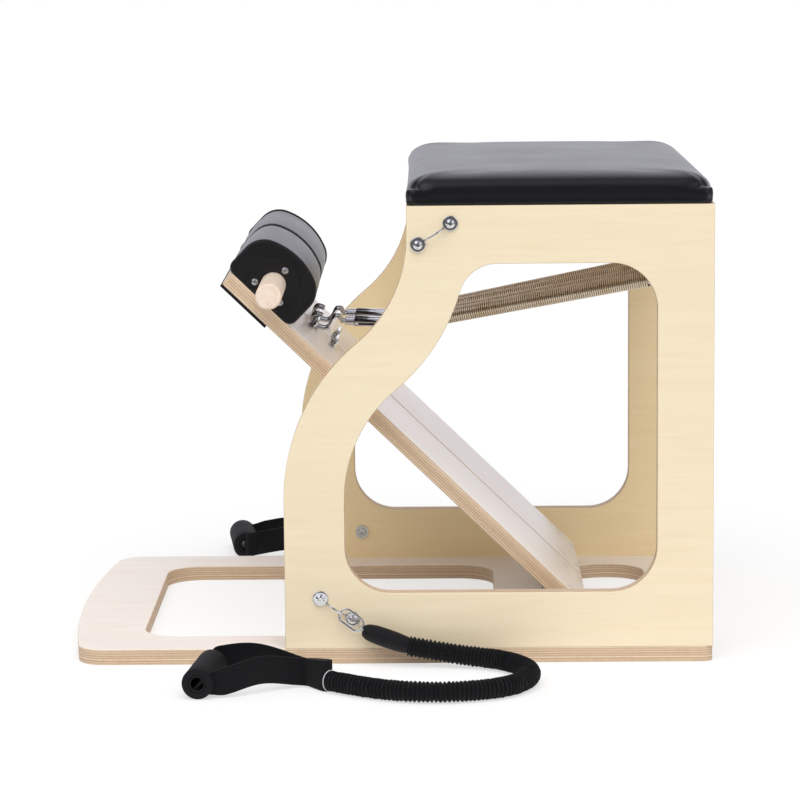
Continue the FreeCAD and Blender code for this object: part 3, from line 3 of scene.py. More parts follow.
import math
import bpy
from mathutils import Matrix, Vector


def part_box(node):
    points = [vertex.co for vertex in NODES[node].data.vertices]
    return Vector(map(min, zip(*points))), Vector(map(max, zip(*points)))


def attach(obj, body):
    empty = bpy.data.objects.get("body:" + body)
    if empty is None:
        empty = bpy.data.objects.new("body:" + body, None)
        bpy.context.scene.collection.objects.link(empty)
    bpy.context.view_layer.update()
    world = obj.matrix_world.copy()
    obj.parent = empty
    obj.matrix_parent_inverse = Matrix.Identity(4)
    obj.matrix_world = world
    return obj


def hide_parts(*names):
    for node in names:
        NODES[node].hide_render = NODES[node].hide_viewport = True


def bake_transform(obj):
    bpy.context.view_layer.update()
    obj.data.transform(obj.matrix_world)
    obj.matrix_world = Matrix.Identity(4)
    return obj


bl_info = {
    "name": "Pilates Chair Looks",
    "version": (1, 0, 0),
    "blender": (4, 5, 0),
    "location": "View3D > Sidebar > Pilates Chair",
    "description": "Dresses the frame of a pilates chair with its upholstery, springs, cords and finishes",
    "category": "Object",
}

import bmesh
import bpy
from bpy.props import FloatProperty, FloatVectorProperty, IntProperty, PointerProperty
from bpy.types import Operator, Panel, PropertyGroup
from mathutils import Matrix, Vector

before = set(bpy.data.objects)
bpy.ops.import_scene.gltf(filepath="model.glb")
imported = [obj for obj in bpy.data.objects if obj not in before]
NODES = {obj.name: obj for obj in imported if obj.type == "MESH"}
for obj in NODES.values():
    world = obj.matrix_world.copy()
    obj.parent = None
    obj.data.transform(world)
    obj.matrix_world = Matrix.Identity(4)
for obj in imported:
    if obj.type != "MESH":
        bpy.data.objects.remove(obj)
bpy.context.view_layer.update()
SIDES = {"near": 1, "far": -1}

PLIES_PER_METRE = 650
# More than any angle between two faces, for a mesh with no sharp edges
ALL_SMOOTH = 4.0

# The pedals' own frame: the lower end of their upper face, at rest
PEDAL_END = Vector((0.2569, 0, 0.0501))
PEDAL_TILT = math.radians(44.1)
PEDAL_TURN = Matrix.Rotation(PEDAL_TILT, 3, "Y")

# The springs: where each one's tube ends and its rear eye hangs, by its distance from the chair's middle
SPRING_ROWS = {"inner": (0.031, 0.030), "outer": (0.055, 0.090)}
SPRING_FRONT = (0.0262, 0.39772)
SPRING_REAR = (0.369, 0.463)
FRONT_PLUG, REAR_PLUG = 0.0049, 0.0309

# The hooks' own frame starts at the pedals' upper loops and runs back along the tubes
HOOK_TURN = Matrix.Rotation(math.radians(2), 3, "Y")
HOOK_POINT = Vector((-0.0902, 0, 0.40178))
HOOK_ROWS = (0.031, 0.055)
HOOK_WIRE = 0.0023
HOOK_BEND = [(0.040, 0), (0.0345, 0), (0.0305, 0.0005), (0.0285, 0.0064), (0.0215, 0.0064), (0.0180, -0.0020),
             (0.0135, -0.0098), (0.0055, -0.0096), (-0.0018, -0.0074), (-0.0076, -0.0046), (-0.0084, 0.0020),
             (-0.0056, 0.0082), (0.0015, 0.0086), (0.0058, 0.0056)]
COLLAR_START = 0.0362
COLLAR_PROFILE = [(0.0015, 0), (0.0040, 0), (0.0048, 0.0008), (0.0048, 0.0032), (0.0042, 0.0037),
                  (0.0042, 0.0043), (0.0048, 0.0048), (0.0048, 0.0074), (0.0042, 0.0079), (0.0042, 0.0085),
                  (0.0048, 0.0090), (0.0048, 0.0112), (0.0040, 0.0120), (0.0015, 0.0120)]
SHANK_PROFILE = [(0, 0.0440), (0.0022, 0.0440), (0.0022, 0.0715), (0.0015, 0.0722), (0, 0.0722)]
TUBE_MOUTH_CUT, TUBE_MOUTH_MIDDLE = 0.018, 0.0394
SLOT_ENDS, SLOT_HALF = (0.0545, 0.0890), 0.0017
SLOT_REACH = (0.0022, 0.0080)
SLOT_DROP = 0.35

# The cords: the near one's route on the floor, with the boot, strap and grip at its ends
CORD_ROUTE = [
    (0.027, -0.326, 0.027), (0.085, -0.323, 0.015), (0.154, -0.351, 0.0132), (0.183, -0.420, 0.0132),
    (0.154, -0.489, 0.0132), (0.085, -0.518, 0.0132), (0.020, -0.512, 0.0132), (-0.030, -0.485, 0.0132),
    (-0.069, -0.452, 0.0132),
]
BOOT_MOUTH = Vector((-0.025222, -0.319741, 0.044546))
BOOT_PROFILE = [(0, -0.0050), (0.0048, -0.0048), (0.0076, -0.0030), (0.0096, 0.0010), (0.0109, 0.0070),
                (0.0116, 0.0150), (0.0118, 0.0250), (0.0117, 0.0380), (0.0111, 0.0480), (0.0102, 0.0540),
                (0.0096, 0.0562), (0, 0.0562)]
LUG_MIDDLE = Vector((-0.029237, -0.318955, 0.047419))
LUG_AXIS = Vector((0.582, 0, 0.8132))
LUG_RADIUS, LUG_WIRE = 0.005, 0.0015
MOUTH_RING_RADIUS, MOUTH_RING_WIRE, MOUTH_RING_SET_BACK = 0.0125, 0.0006, 0.0022
STRAP_MIDDLE, STRAP_BEVEL, STRAP_BOX_RISE = 0.0186, 0.0008, 0.0006
STRAP_BOX = [(-0.001, 0.0375, 0.0125), (0.004, 0.0380, 0.0135), (0.012, 0.0370, 0.0122),
             (0.022, 0.0355, 0.0095)]
NEAR_LEG = [(-0.118, -0.4395), (-0.150, -0.4640), (-0.176, -0.4800), (-0.1960, -0.4862)]
FAR_LEG = [(-0.120, -0.4105), (-0.150, -0.3930), (-0.175, -0.3800), (-0.1960, -0.3765), (-0.2110, -0.3770)]
GRIP_ENDS = (Vector((-0.225, -0.494, 0.0192)), Vector((-0.213, -0.385, 0.0192)))
GRIP_RADIUS, GRIP_WAIST = 0.0190, 0.01885
GRIP_END = [(0.0105, 0.0015), (0.0112, 0), (0.0165, 0), (0.0182, 0.0008), (GRIP_RADIUS, 0.0030)]
GRIP_TUBE_END = [(0.0080, 0.0012), (0.0086, 0.0006), (0.0100, 0.0006), (0.0106, 0.0014)]

# The seat's hem, which stays where it is stapled
SEAT_HEM = 0.004

# The rollers' section on the board: its middle up the board, and half its length, height, crown and shoulders
PAD_MIDDLE, PAD_CORNER = -0.578, 0.010
PAD_SECTION = (0.054, 0.070, 0.088, 0.030)
PAD_INNER_SEAM, PAD_OUTER_SEAM = 0.0046, 0.2150
PAD_HEM, PAD_FREE = 0.002, (0.0065, 0.2125)
# Their piping: its share of the welt, its distance from the chair's middle, and its growth over the section
PAD_PIPING = {"outer_welt": (1.0, 0.2153, -0.0010), "cap_rim": (0.6, 0.2186, -0.0016),
              "inner_welt": (0.7, 0.0062, -0.0010)}
CAP_CIRCLE_MIDDLE, CAP_CIRCLE_RADIUS = (-0.5755, 0.0235), 0.0335
CAP_CIRCLE_WIRE, CAP_CIRCLE_PLACE = 0.0008, 0.2198

# What shiny pieces see in front of them: softboxes in a dark studio, by direction and strength
SOFTBOXES = (((-0.55, -0.45, 0.70), 1.0), ((0.70, -0.40, 0.45), 0.8), ((-0.1, -0.2, 1.0), 0.35))
SOFTBOX_EDGE = (0.86, 0.95)
DARK_ROOM, COOL_TINT = 0.07, (1.10, 1.10, 1.20)
DARK_FLOOR, DARK_FLOOR_EDGE = 0.16, (-1.9, -0.7)
FLOOR_HALF, FLOOR_GLOW, FLOOR_GLOW_SHARE = 30, 1.06, 0.55
SUN_DIRECTION, SUN_SPREAD = Vector((-0.05, 0.9, -1.35)), math.radians(60)


def tint(red, green, blue):
    """A colour as it looks on screen, 0 to 255, in the linear values that Blender keeps."""
    def linear(level):
        share = level / 255
        return share / 12.92 if share <= 0.04045 else ((share + 0.055) / 1.055) ** 2.4
    return linear(red), linear(green), linear(blue)


def colour(name, description, *screen):
    return FloatVectorProperty(name=name, description=description, subtype="COLOR", min=0, max=1,
                               default=tint(*screen))


def length(name, description, default):
    return FloatProperty(name=name, description=description, subtype="DISTANCE", unit="LENGTH", precision=4,
                         min=0, default=default)


class PilatesChairColours(PropertyGroup):
    """The colours of the chair's finishes."""

    maple: colour("Maple Face", "Lacquered face veneer of the side panels", 243, 228, 198)
    # The birch face is paler partly in its own tone and partly with painted light from above on the upward
    # faces of the base and the pedals.
    birch_with_top_light: colour("Birch Face", "Paler face veneer of the base and the pedals", 243, 233, 225)
    ply_pale: colour("Pale Ply", "Plies that show their long grain on a cut edge", 234, 214, 189)
    ply_brown: colour("Brown Ply", "Plies that show their end grain on a cut edge", 196, 163, 128)
    dowel: colour("Dowel", "Sanded hardwood of the linking dowel", 238, 221, 206)
    leatherette: colour("Leatherette", "Cushion and roller covering", 23, 23, 27)
    steel: colour("Plated Steel", "Screws, bolts, bars and blocks", 196, 196, 198)
    chrome: colour("Chrome", "Bails, rings, hooks and tubes", 226, 226, 229)
    spring: colour("Spring Wire", "Oiled wire of the coils", 222, 210, 192)
    bronze: colour("Bronze", "Bushes of the pedal hinge", 178, 140, 92)
    sleeve: colour("Sleeve", "Gathered cord sleeve and webbing", 14, 14, 17)
    foam: colour("Foam", "Hand grips and bumpers", 20, 19, 22)


class PilatesChairSizes(PropertyGroup):
    """The sizes of the soft and wound pieces."""

    cushion_crown: length("Cushion Crown", "Rise of the seat's middle over its shoulder", 0.0035)
    cushion_pull: length("Cushion Pull", "How far the cushion's sides draw in between its corners", 0.0015)
    side_bulge: length("Side Bulge", "How far the cushion's sides swell below its shoulder", 0.0022)
    pad_crown: length("Pad Crown", "Swell of a roller pad between its seams", 0.0020)
    swell_cap: length("Swell Cap", "Most that the inflated cover may move", 0.0015)
    welt: length("Welt", "Radius of the piping round a roller's end", 0.0022)
    coil_radius: length("Coil Radius", "Middle radius of a spring's coil", 0.00885)
    coil_wire: length("Coil Wire", "Radius of the spring wire", 0.00165)
    coil_turns: IntProperty(name="Coil Turns", description="Turns in each spring", min=10, default=112)
    cord_diameter: length("Cord Diameter", "Outside of the gathered sleeve", 0.026)
    rib_pitch: length("Rib Pitch", "Distance between the sleeve's gathers", 0.0051)
    rib_depth: length("Rib Depth", "Depth of the sleeve's gathers", 0.0029)
    strap_height: length("Strap Height", "Width of the strap's webbing", 0.034)
    strap_thickness: length("Strap Thickness", "Thickness of the webbing", 0.003)


class PilatesChairStage(PropertyGroup):
    """The camera and the light."""

    camera_place: FloatVectorProperty(
        name="Camera Place", description="Where the camera stands", subtype="TRANSLATION", unit="LENGTH",
        default=(0.05687, -4.33842, 0.92145))
    camera_yaw: FloatProperty(name="Camera Yaw", description="How far the camera looks to its left",
                              subtype="ANGLE", default=0.009432)
    camera_pitch: FloatProperty(name="Camera Pitch", description="How far the camera looks down",
                                subtype="ANGLE", default=0.14488)
    camera_roll: FloatProperty(name="Camera Roll", description="Turn of the camera on its own axis",
                               subtype="ANGLE", default=-0.008713)
    lens: FloatProperty(name="Lens", description="Focal length on a 36 mm sensor", unit="CAMERA",
                        default=148.416)
    sun: FloatProperty(name="Sun", description="Strength of the broad lamp", min=0, default=2.1)
    ambient: FloatProperty(name="Ambient", description="Light from the white surroundings", min=0,
                           default=0.46)


class Wire:
    """A node's output in a Python expression; arithmetic on it adds Math nodes to its tree."""

    def __init__(self, tree, socket):
        self.tree, self.socket = tree, socket

    def math(self, operation, *others):
        """A Math node with this output first."""
        return self.tree.math(operation, self, *others)

    def __add__(self, other):
        return self.math("ADD", other)

    def __sub__(self, other):
        return self.math("SUBTRACT", other)

    def __rsub__(self, other):
        return self.tree.math("SUBTRACT", other, self)

    def __mul__(self, other):
        return self.math("MULTIPLY", other)

    def __truediv__(self, other):
        return self.math("DIVIDE", other)

    def __mod__(self, other):
        return self.math("FLOORED_MODULO", other)

    def __abs__(self):
        return self.math("ABSOLUTE")

    def sine(self):
        return self.math("SINE")

    def also(self, output):
        """Another output of the same node."""
        return Wire(self.tree, self.socket.node.outputs[output])

    def step(self, low, high):
        """0 below low, 1 above high, and smooth between them."""
        return self.tree.node("ShaderNodeMapRange", {"interpolation_type": "SMOOTHSTEP"},
                              {0: self, 1: low, 2: high, 3: 0.0, 4: 1.0})

    __radd__ = __add__
    __rmul__ = __mul__


class NodeTree:
    """A node tree under construction."""

    def __init__(self, tree):
        self.tree = tree

    def node(self, kind, settings=None, sockets=None, output=0):
        """Adds a node with its settings, then its sockets' values or links, and gives one output."""
        made = self.tree.nodes.new(kind)
        for name, value in (settings or {}).items():
            setattr(made, name, value)
        self.feed(made, sockets or {})
        return Wire(self, made.outputs[output])

    def math(self, operation, *values):
        return self.node("ShaderNodeMath", {"operation": operation}, dict(enumerate(values)))

    def feed(self, made, sockets):
        """Sets or links a node's inputs."""
        for name, value in sockets.items():
            socket = made.inputs[name]
            if isinstance(value, Wire):
                self.tree.links.new(value.socket, socket)
            elif socket.type == "RGBA":
                socket.default_value = (*value, 1.0)[:4]
            else:
                socket.default_value = value


class Finish(NodeTree):
    """A material: a Principled shader and the nodes that feed it."""

    def __init__(self, name, plain):
        self.material = bpy.data.materials.new(name)
        self.material.use_nodes = True
        super().__init__(self.material.node_tree)
        self.tree.nodes.clear()
        self.shader = self.tree.nodes.new("ShaderNodeBsdfPrincipled")
        end = self.tree.nodes.new("ShaderNodeOutputMaterial")
        self.tree.links.new(self.shader.outputs["BSDF"], end.inputs["Surface"])
        self.feed(self.shader, plain)

    def coordinates(self, output="Object"):
        return self.node("ShaderNodeTexCoord", output=output)

    def attribute(self, name):
        """A number that the piece's own mesh holds at each point."""
        return self.node("ShaderNodeAttribute", {"attribute_name": name}, output=2)

    def mapped(self, vector, turn=(0, 0, 0), scale=(1, 1, 1), move=(0, 0, 0), kind="POINT"):
        sockets = {"Vector": vector, "Rotation": turn, "Scale": scale}
        if kind == "POINT":
            sockets["Location"] = move
        return self.node("ShaderNodeMapping", {"vector_type": kind}, sockets)

    def axes(self, vector):
        split = self.node("ShaderNodeSeparateXYZ", sockets={"Vector": vector})
        return [split.also(axis) for axis in range(3)]

    def noise(self, vector, scale, detail=3.0, roughness=0.5, distortion=0.0):
        return self.node("ShaderNodeTexNoise", sockets={"Vector": vector, "Scale": scale, "Detail": detail,
                                                       "Roughness": roughness, "Distortion": distortion})

    def mix(self, share, first, second):
        return self.node("ShaderNodeMix", {"data_type": "RGBA"}, {0: share, 6: first, 7: second}, output=2)

    def relief(self, height, distance, strength=1.0):
        """Bumps the surface by a height of 0 to 1 that stands for that distance."""
        bump = self.node("ShaderNodeBump", sockets={
            "Height": height, "Distance": distance, "Strength": strength})
        self.feed(self.shader, {"Normal": bump})

    def paint(self, **sockets):
        self.feed(self.shader, {name.replace("_", " ").title(): value for name, value in sockets.items()})


def shade(base, share):
    """A darker or lighter take on a colour."""
    return tuple(min(1.0, level * share) for level in base)


def toned(base, *shares):
    """A colour with each of its channels taken down by a share of its own."""
    return tuple(level * share for level, share in zip(base, shares))


def plywood_finish(name, face, colours, board_axis, turn=(0, 0, 0), move=(0, 0, 0), lacquer=0.12, inner=None):
    """Lacquered plywood: veneer figure on its faces, and plies with their glue lines on its edges.

    board_axis is 1 or 2, the axis that is square to the board once its place is turned to lie straight.
    A pair of boards on either side of the origin can have inner faces in another tint, which paints warm
    shade and bounce light onto the inside of the chair.
    """
    finish = Finish(name, {"Specular IOR Level": 0.42, "Coat Roughness": 0.3})
    place = finish.mapped(finish.coordinates(), turn, move=move)
    square = finish.mapped(finish.coordinates("Normal"), turn, kind="VECTOR")
    depth = finish.axes(place)[board_axis]
    outward = finish.axes(square)[board_axis]
    facing = abs(outward)
    edge = 1 - facing.step(0.55, 0.9)

    along = finish.mapped(place, scale=(2.2, 30, 30))
    drift = finish.noise(along, 1.0, 2.0, 0.5, 0.6)
    figure = finish.noise(along, 2.6, 5.0, 0.62, 1.4).step(0.32, 0.72)
    pores = finish.noise(finish.mapped(along, scale=(1.5, 9.0, 9.0)), 3.2, 3.0, 0.7).step(0.52, 0.78)
    veneer = finish.mix(drift, shade(face, 0.955), shade(face, 1.02))
    veneer = finish.mix(figure * 0.45, veneer, toned(face, 0.94, 0.885, 0.80))
    veneer = finish.mix(pores * 0.28, veneer, toned(face, 0.86, 0.76, 0.62))
    # Faces that look in towards the middle take the inner tint: painted warm shade and bounce light for the
    # chair's interior.
    if inner:
        inside_painted_shade = finish.node("ShaderNodeVectorMath", {"operation": "MULTIPLY"}, {0: veneer, 1: inner})
        veneer = finish.mix((outward * depth).step(-0.05, 0.05), inside_painted_shade, veneer)

    wander = finish.noise(finish.mapped(place, scale=(7, 7, 7)), 2.0, 2.0) * 0.25
    layer = depth * PLIES_PER_METRE + wander
    index = layer.math("FLOOR")
    within = layer - index
    tone = finish.node("ShaderNodeTexWhiteNoise", {"noise_dimensions": "1D"}, {"W": index})
    turned = (index % 2.0) * 0.62 + tone * 0.38
    glue = 1 - within.math("MINIMUM", 1 - within).step(0.04, 0.16)
    fibres = finish.noise(finish.mapped(place, scale=(150, 150, 150)), 1.0, 4.0, 0.7)
    streaks = finish.noise(finish.mapped(place, scale=(14, 14, 500)), 1.0, 3.0, 0.6)
    plies = finish.mix(turned, colours.ply_pale, colours.ply_brown)
    plies = finish.mix(glue * tone * 0.75, plies, shade(colours.ply_brown, 0.5))
    plies = finish.mix((fibres + streaks).step(0.85, 1.4) * 0.35, plies, shade(colours.ply_brown, 0.78))
    finish.paint(base_color=finish.mix(edge, veneer, plies),
                 roughness=0.40 + 0.10 * figure + 0.14 * edge,
                 coat_weight=lacquer * (1 - 0.83 * edge))
    finish.relief(pores * -0.6 + figure * 0.25 - glue * edge * 0.9 + fibres * edge * 0.7, 0.00018, 0.5)
    return finish.material


def solid_wood_finish(name, base, grain_scale, gloss=0.5):
    """Plain sanded wood with long fibres and scattered darker flecks."""
    finish = Finish(name, {"Specular IOR Level": 0.4})
    along = finish.mapped(finish.coordinates(), scale=grain_scale)
    figure = finish.noise(along, 1.6, 5.0, 0.6, 1.0)
    flecks = finish.noise(finish.mapped(along, scale=(4, 4, 4)), 2.6, 3.0, 0.7).step(0.55, 0.8)
    wood = finish.mix(figure.step(0.3, 0.75), shade(base, 1.04), toned(base, 0.92, 0.84, 0.76))
    wood = finish.mix(flecks * 0.45, wood, toned(base, 0.8, 0.66, 0.54))
    finish.paint(base_color=wood, roughness=gloss + 0.12 * figure)
    finish.relief(flecks, 0.00012, 0.5)
    return finish.material


def metal_finish(name, base, roughness, wear=0.10):
    """Plated metal with fine drawing marks and a faint bloom."""
    finish = Finish(name, {"Metallic": 1.0})
    place = finish.coordinates()
    bloom = finish.noise(place, 38.0, 4.0, 0.6)
    marks = finish.noise(finish.mapped(place, scale=(60, 60, 60)), 22.0, 3.0, 0.65)
    finish.paint(base_color=finish.mix(bloom.step(0.35, 0.75), base, shade(base, 1 - wear)),
                 roughness=roughness + 0.16 * (bloom - 0.5) + 0.08 * marks)
    finish.relief(marks, 0.00003, 0.35)
    return finish.material


def leather_finish(name, base, roughness=0.27):
    """Pebbled leatherette: small grain cells with painted shade in the valleys between them, over a broad
    uneven sheen.
    """
    finish = Finish(name, {"Specular IOR Level": 0.5})
    place = finish.coordinates()
    stray = finish.node("ShaderNodeTexNoise", sockets={
        "Vector": place, "Scale": 300.0, "Detail": 1.0}, output=1)
    bent = finish.node("ShaderNodeVectorMath", {"operation": "MULTIPLY_ADD"}, {
        0: stray, 1: (0.0016, 0.0016, 0.0016), 2: place})
    cells = finish.node("ShaderNodeTexVoronoi", {"feature": "DISTANCE_TO_EDGE"}, {
        "Vector": bent, "Scale": 620.0})
    grain = cells.step(0.0, 0.30)
    sheen = finish.noise(place, 14.0, 3.0, 0.55)
    hide = finish.mix(sheen, shade(base, 0.92), shade(base, 1.12))
    # The valleys between the grain cells are taken down to 0.72: painted shade in the grain's recesses.
    finish.paint(base_color=finish.mix(grain, shade(base, 0.72), hide),
                 roughness=roughness + 0.10 * (sheen - 0.5) + 0.10 * (1 - grain))
    finish.relief(grain + finish.noise(place, 1500.0, 2.0) * 0.3, 0.00012, 0.22)
    return finish.material


def cloth_finish(name, base, weave_scale, roughness=0.86):
    """Woven polyester: fine crossed yarns read from the piece's own length and girth, with a painted
    highlight on their crests and painted shade between them.
    """
    finish = Finish(name, {"Sheen Weight": 0.06, "Sheen Roughness": 0.5, "Specular IOR Level": 0.22})
    warp = (finish.attribute("along") * weave_scale[0]).sine() * 0.5 + 0.5
    weft = (finish.attribute("around") * weave_scale[1]).sine() * 0.5 + 0.5
    yarn_and_weave_shade = warp.math("MAXIMUM", weft * 0.8)
    fuzz = finish.noise(finish.coordinates(), 420.0, 3.0, 0.7)
    # The yarn crests are lit to 1.35 and the gaps between them shaded to 0.55: painted highlight and painted
    # shade on the weave, with random fuzz.
    finish.paint(base_color=finish.mix(yarn_and_weave_shade * 0.7 + fuzz * 0.3, shade(base, 0.55), shade(base, 1.35)),
                 roughness=roughness + 0.08 * (fuzz - 0.5))
    finish.relief(yarn_and_weave_shade + fuzz * 0.4, 0.0003, 0.6)
    return finish.material


def foam_finish(name, base, roughness=0.82):
    """Closed-cell foam or rubber: a matt skin with fine pits."""
    finish = Finish(name, {"Specular IOR Level": 0.3})
    place = finish.coordinates()
    pits = finish.node("ShaderNodeTexVoronoi", {"feature": "F1"}, {"Vector": place, "Scale": 900.0})
    mottle = finish.noise(place, 60.0, 4.0, 0.6)
    finish.paint(base_color=finish.mix(mottle, shade(base, 0.85), shade(base, 1.25)),
                 roughness=roughness + 0.12 * (mottle - 0.5))
    finish.relief(pits + mottle * 0.5, 0.00022, 0.5)
    return finish.material


def dress(material, *names):
    """Gives CAD nodes a finish in their own material slots."""
    for name in names:
        mesh = NODES[name].data
        mesh.materials.clear()
        mesh.materials.append(material)


def settle(piece, body, slot, *nodes):
    """A finished piece rides on its body and stands for its CAD nodes, which it hides; its slot is not used.
    """
    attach(piece, body)
    if nodes:
        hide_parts(*nodes)


def placed(name, data):
    """A new object in the scene that holds a mesh, a curve, a lamp or a camera."""
    holder = bpy.data.objects.new(name, data)
    bpy.context.scene.collection.objects.link(holder)
    return holder


def new_piece(name, mesh, material):
    """A new object with one material, for a mesh that is already in its place."""
    mesh.materials.clear()
    mesh.materials.append(material)
    return placed(name, mesh)


def plain_mesh(source, name):
    """What an object looks like with its modifiers, as a mesh of its own; the object is then removed."""
    shown = source.evaluated_get(bpy.context.evaluated_depsgraph_get())
    mesh = bpy.data.meshes.new_from_object(shown)
    mesh.name = name
    data = source.data
    bpy.data.objects.remove(source)
    if isinstance(data, bpy.types.Curve):
        bpy.data.curves.remove(data)
    return mesh


class Recipe(NodeTree):
    """A Geometry Nodes tree with named inputs, ready to be put on an object."""

    def __init__(self, name, inputs):
        super().__init__(bpy.data.node_groups.new(name, "GeometryNodeTree"))
        ways = self.tree.interface
        ways.new_socket("Geometry", in_out="INPUT", socket_type="NodeSocketGeometry")
        ways.new_socket("Geometry", in_out="OUTPUT", socket_type="NodeSocketGeometry")
        kinds = {int: "NodeSocketInt", float: "NodeSocketFloat", bpy.types.Material: "NodeSocketMaterial"}
        self.keys, self.values = {}, inputs
        for title, value in inputs.items():
            socket = ways.new_socket(title, in_out="INPUT", socket_type=kinds[type(value)])
            self.keys[title] = socket.identifier
        self.entry = self.tree.nodes.new("NodeGroupInput")
        self.exit = self.tree.nodes.new("NodeGroupOutput")

    def given(self, title):
        return Wire(self, self.entry.outputs[title])

    def finish(self, geometry):
        """Ends the tree with real geometry, smooth, in its material."""
        real = self.node("GeometryNodeRealizeInstances", sockets={"Geometry": geometry})
        smooth = self.node("GeometryNodeSetShadeSmooth", sockets={"Geometry": real})
        done = self.node("GeometryNodeSetMaterial", sockets={
            "Geometry": smooth, "Material": self.given("Material")})
        self.tree.links.new(done.socket, self.exit.inputs[0])

    def circle(self, corners, radius):
        return self.node("GeometryNodeCurvePrimitiveCircle", sockets={
            "Resolution": corners, "Radius": radius})

    def sweep(self, line, section, **sockets):
        """A closed tube with a section along a line."""
        return self.node("GeometryNodeCurveToMesh", sockets={
            "Curve": line, "Profile Curve": section, "Fill Caps": True, **sockets})

    def marked(self, geometry, name, value):
        """The geometry with a number kept at each of its points, for its finish to read."""
        return self.node("GeometryNodeStoreNamedAttribute", {"data_type": "FLOAT", "domain": "POINT"}, {
            "Geometry": geometry, "Name": name, "Value": value})

    def make(self, source, name):
        """The tree's result on an object, as a plain mesh."""
        modifier = source.modifiers.new(self.tree.name, "NODES")
        modifier.node_group = self.tree
        for title, value in self.values.items():
            modifier[self.keys[title]] = value
        return plain_mesh(source, name)


def new_spline(kind, points):
    """A curve with one spline on its points."""
    curve = bpy.data.curves.new("line", "CURVE")
    curve.dimensions = "3D"
    spline = curve.splines.new(kind)
    spline.points.add(len(points) - 1)
    for point, place in zip(spline.points, points):
        point.co = (*place, 1)
    return curve, spline


def route_curve(name, points, steps=24):
    """A smooth open line that its points draw towards them, with so many steps from point to point."""
    curve, spline = new_spline("NURBS", points)
    curve.resolution_u = steps
    spline.order_u = 3
    spline.use_endpoint_u = True
    return placed(name, curve)


def closed_line(name, points):
    """A closed line through its points, for the piping to follow."""
    curve, spline = new_spline("POLY", points)
    spline.use_cyclic_u = True
    return placed(name, curve)


def line_points(curve_object):
    """Points read along a curve with no bevel."""
    shown = curve_object.evaluated_get(bpy.context.evaluated_depsgraph_get())
    mesh = bpy.data.meshes.new_from_object(shown)
    points = [vertex.co.copy() for vertex in mesh.vertices]
    bpy.data.meshes.remove(mesh)
    return points


def standing(start, axis):
    """The move that stands what is made along Z from the origin on a start, along an axis."""
    return Matrix.Translation(start) @ Vector((0, 0, 1)).rotation_difference(axis).to_matrix().to_4x4()


def mirrored(points, side):
    """Points of the near side, or their reflections on the far side."""
    return [Vector((p[0], p[1] * side, p[2])) for p in points]


class PILATES_OT_woodwork(Operator):
    """Give the boards, the back rail and the dowel their wood finishes"""

    bl_idname = "pilates.woodwork"
    bl_label = "Woodwork"

    def execute(self, context):
        colours = context.scene.pilates_colours
        maple, birch_with_top_light = tuple(colours.maple), tuple(colours.birch_with_top_light)
        # The side panels' inner faces are warmed and their blue taken down: painted shade and bounce light
        # inside the chair.
        panel = plywood_finish("maple_plywood", maple, colours, 1, inner=(1.08, 1.02, 0.87))
        # The base and the pedals take the paler birch face, which carries painted light from above.
        base = plywood_finish("birch_plywood", birch_with_top_light, colours, 2)
        pedal = plywood_finish("pedal_plywood", birch_with_top_light, colours, 2, turn=(0, -PEDAL_TILT, 0),
                               move=-(PEDAL_TURN.inverted() @ PEDAL_END), lacquer=0.7)
        dress(panel, "near_side_panel", "far_side_panel")
        dress(base, "base_board", "seat_board")
        dress(pedal, "near_pedal_board", "far_pedal_board")
        # The rail, the seat cleats and the roller cores take the pale ply at 0.72: painted shade for the back
        # rail, which sits in shadow behind the pedals.
        rail = solid_wood_finish("sanded_rail", shade(colours.ply_pale, 0.72), (30, 2.4, 30))
        dress(rail, "back_rail", "seat_cleats", "near_roller_core", "far_roller_core")
        dress(solid_wood_finish("oiled_dowel", tuple(colours.dowel), (45, 3.0, 45), 0.46), "link_dowel")
        return {"FINISHED"}


class PILATES_OT_metalwork(Operator):
    """Give the screws, bars, bails, loops and blocks their plated finishes, and the bumpers theirs"""

    bl_idname = "pilates.metalwork"
    bl_label = "Metalwork"

    def execute(self, context):
        colours = context.scene.pilates_colours
        steel = metal_finish("zinc_plate", tuple(colours.steel), 0.30)
        chrome = metal_finish("bright_chrome", tuple(colours.chrome), 0.12, wear=0.06)
        bronze = metal_finish("sintered_bronze", tuple(colours.bronze), 0.42)
        rubber = foam_finish("bumper_rubber", tuple(colours.foam), 0.74)
        dress(steel, "wood_screws", "pillow_screws", "bail_nuts", "spring_bar", "pivot_axle", "bar_collars",
              "pillow_blocks")
        dress(chrome, "bail_bolts")
        dress(metal_finish("spring_eye_wire", tuple(colours.spring), 0.34), "spring_eyes")
        for side in SIDES:
            dress(steel, f"{side}_pedal_screws", f"{side}_cap_screws", f"{side}_hinge_blocks")
            dress(chrome, f"{side}_bails", f"{side}_upper_loop", f"{side}_lower_loop", f"{side}_cord_ring")
            dress(bronze, f"{side}_hinge_bushes")
            dress(rubber, f"{side}_bumper")
        return {"FINISHED"}


def round_recipe(radius, material):
    """A round rod or welt along a line, with flat ends."""
    recipe = Recipe("round_sweep", {"Radius": radius, "Material": material})
    recipe.finish(recipe.sweep(recipe.given("Geometry"), recipe.circle(12, recipe.given("Radius"))))
    return recipe


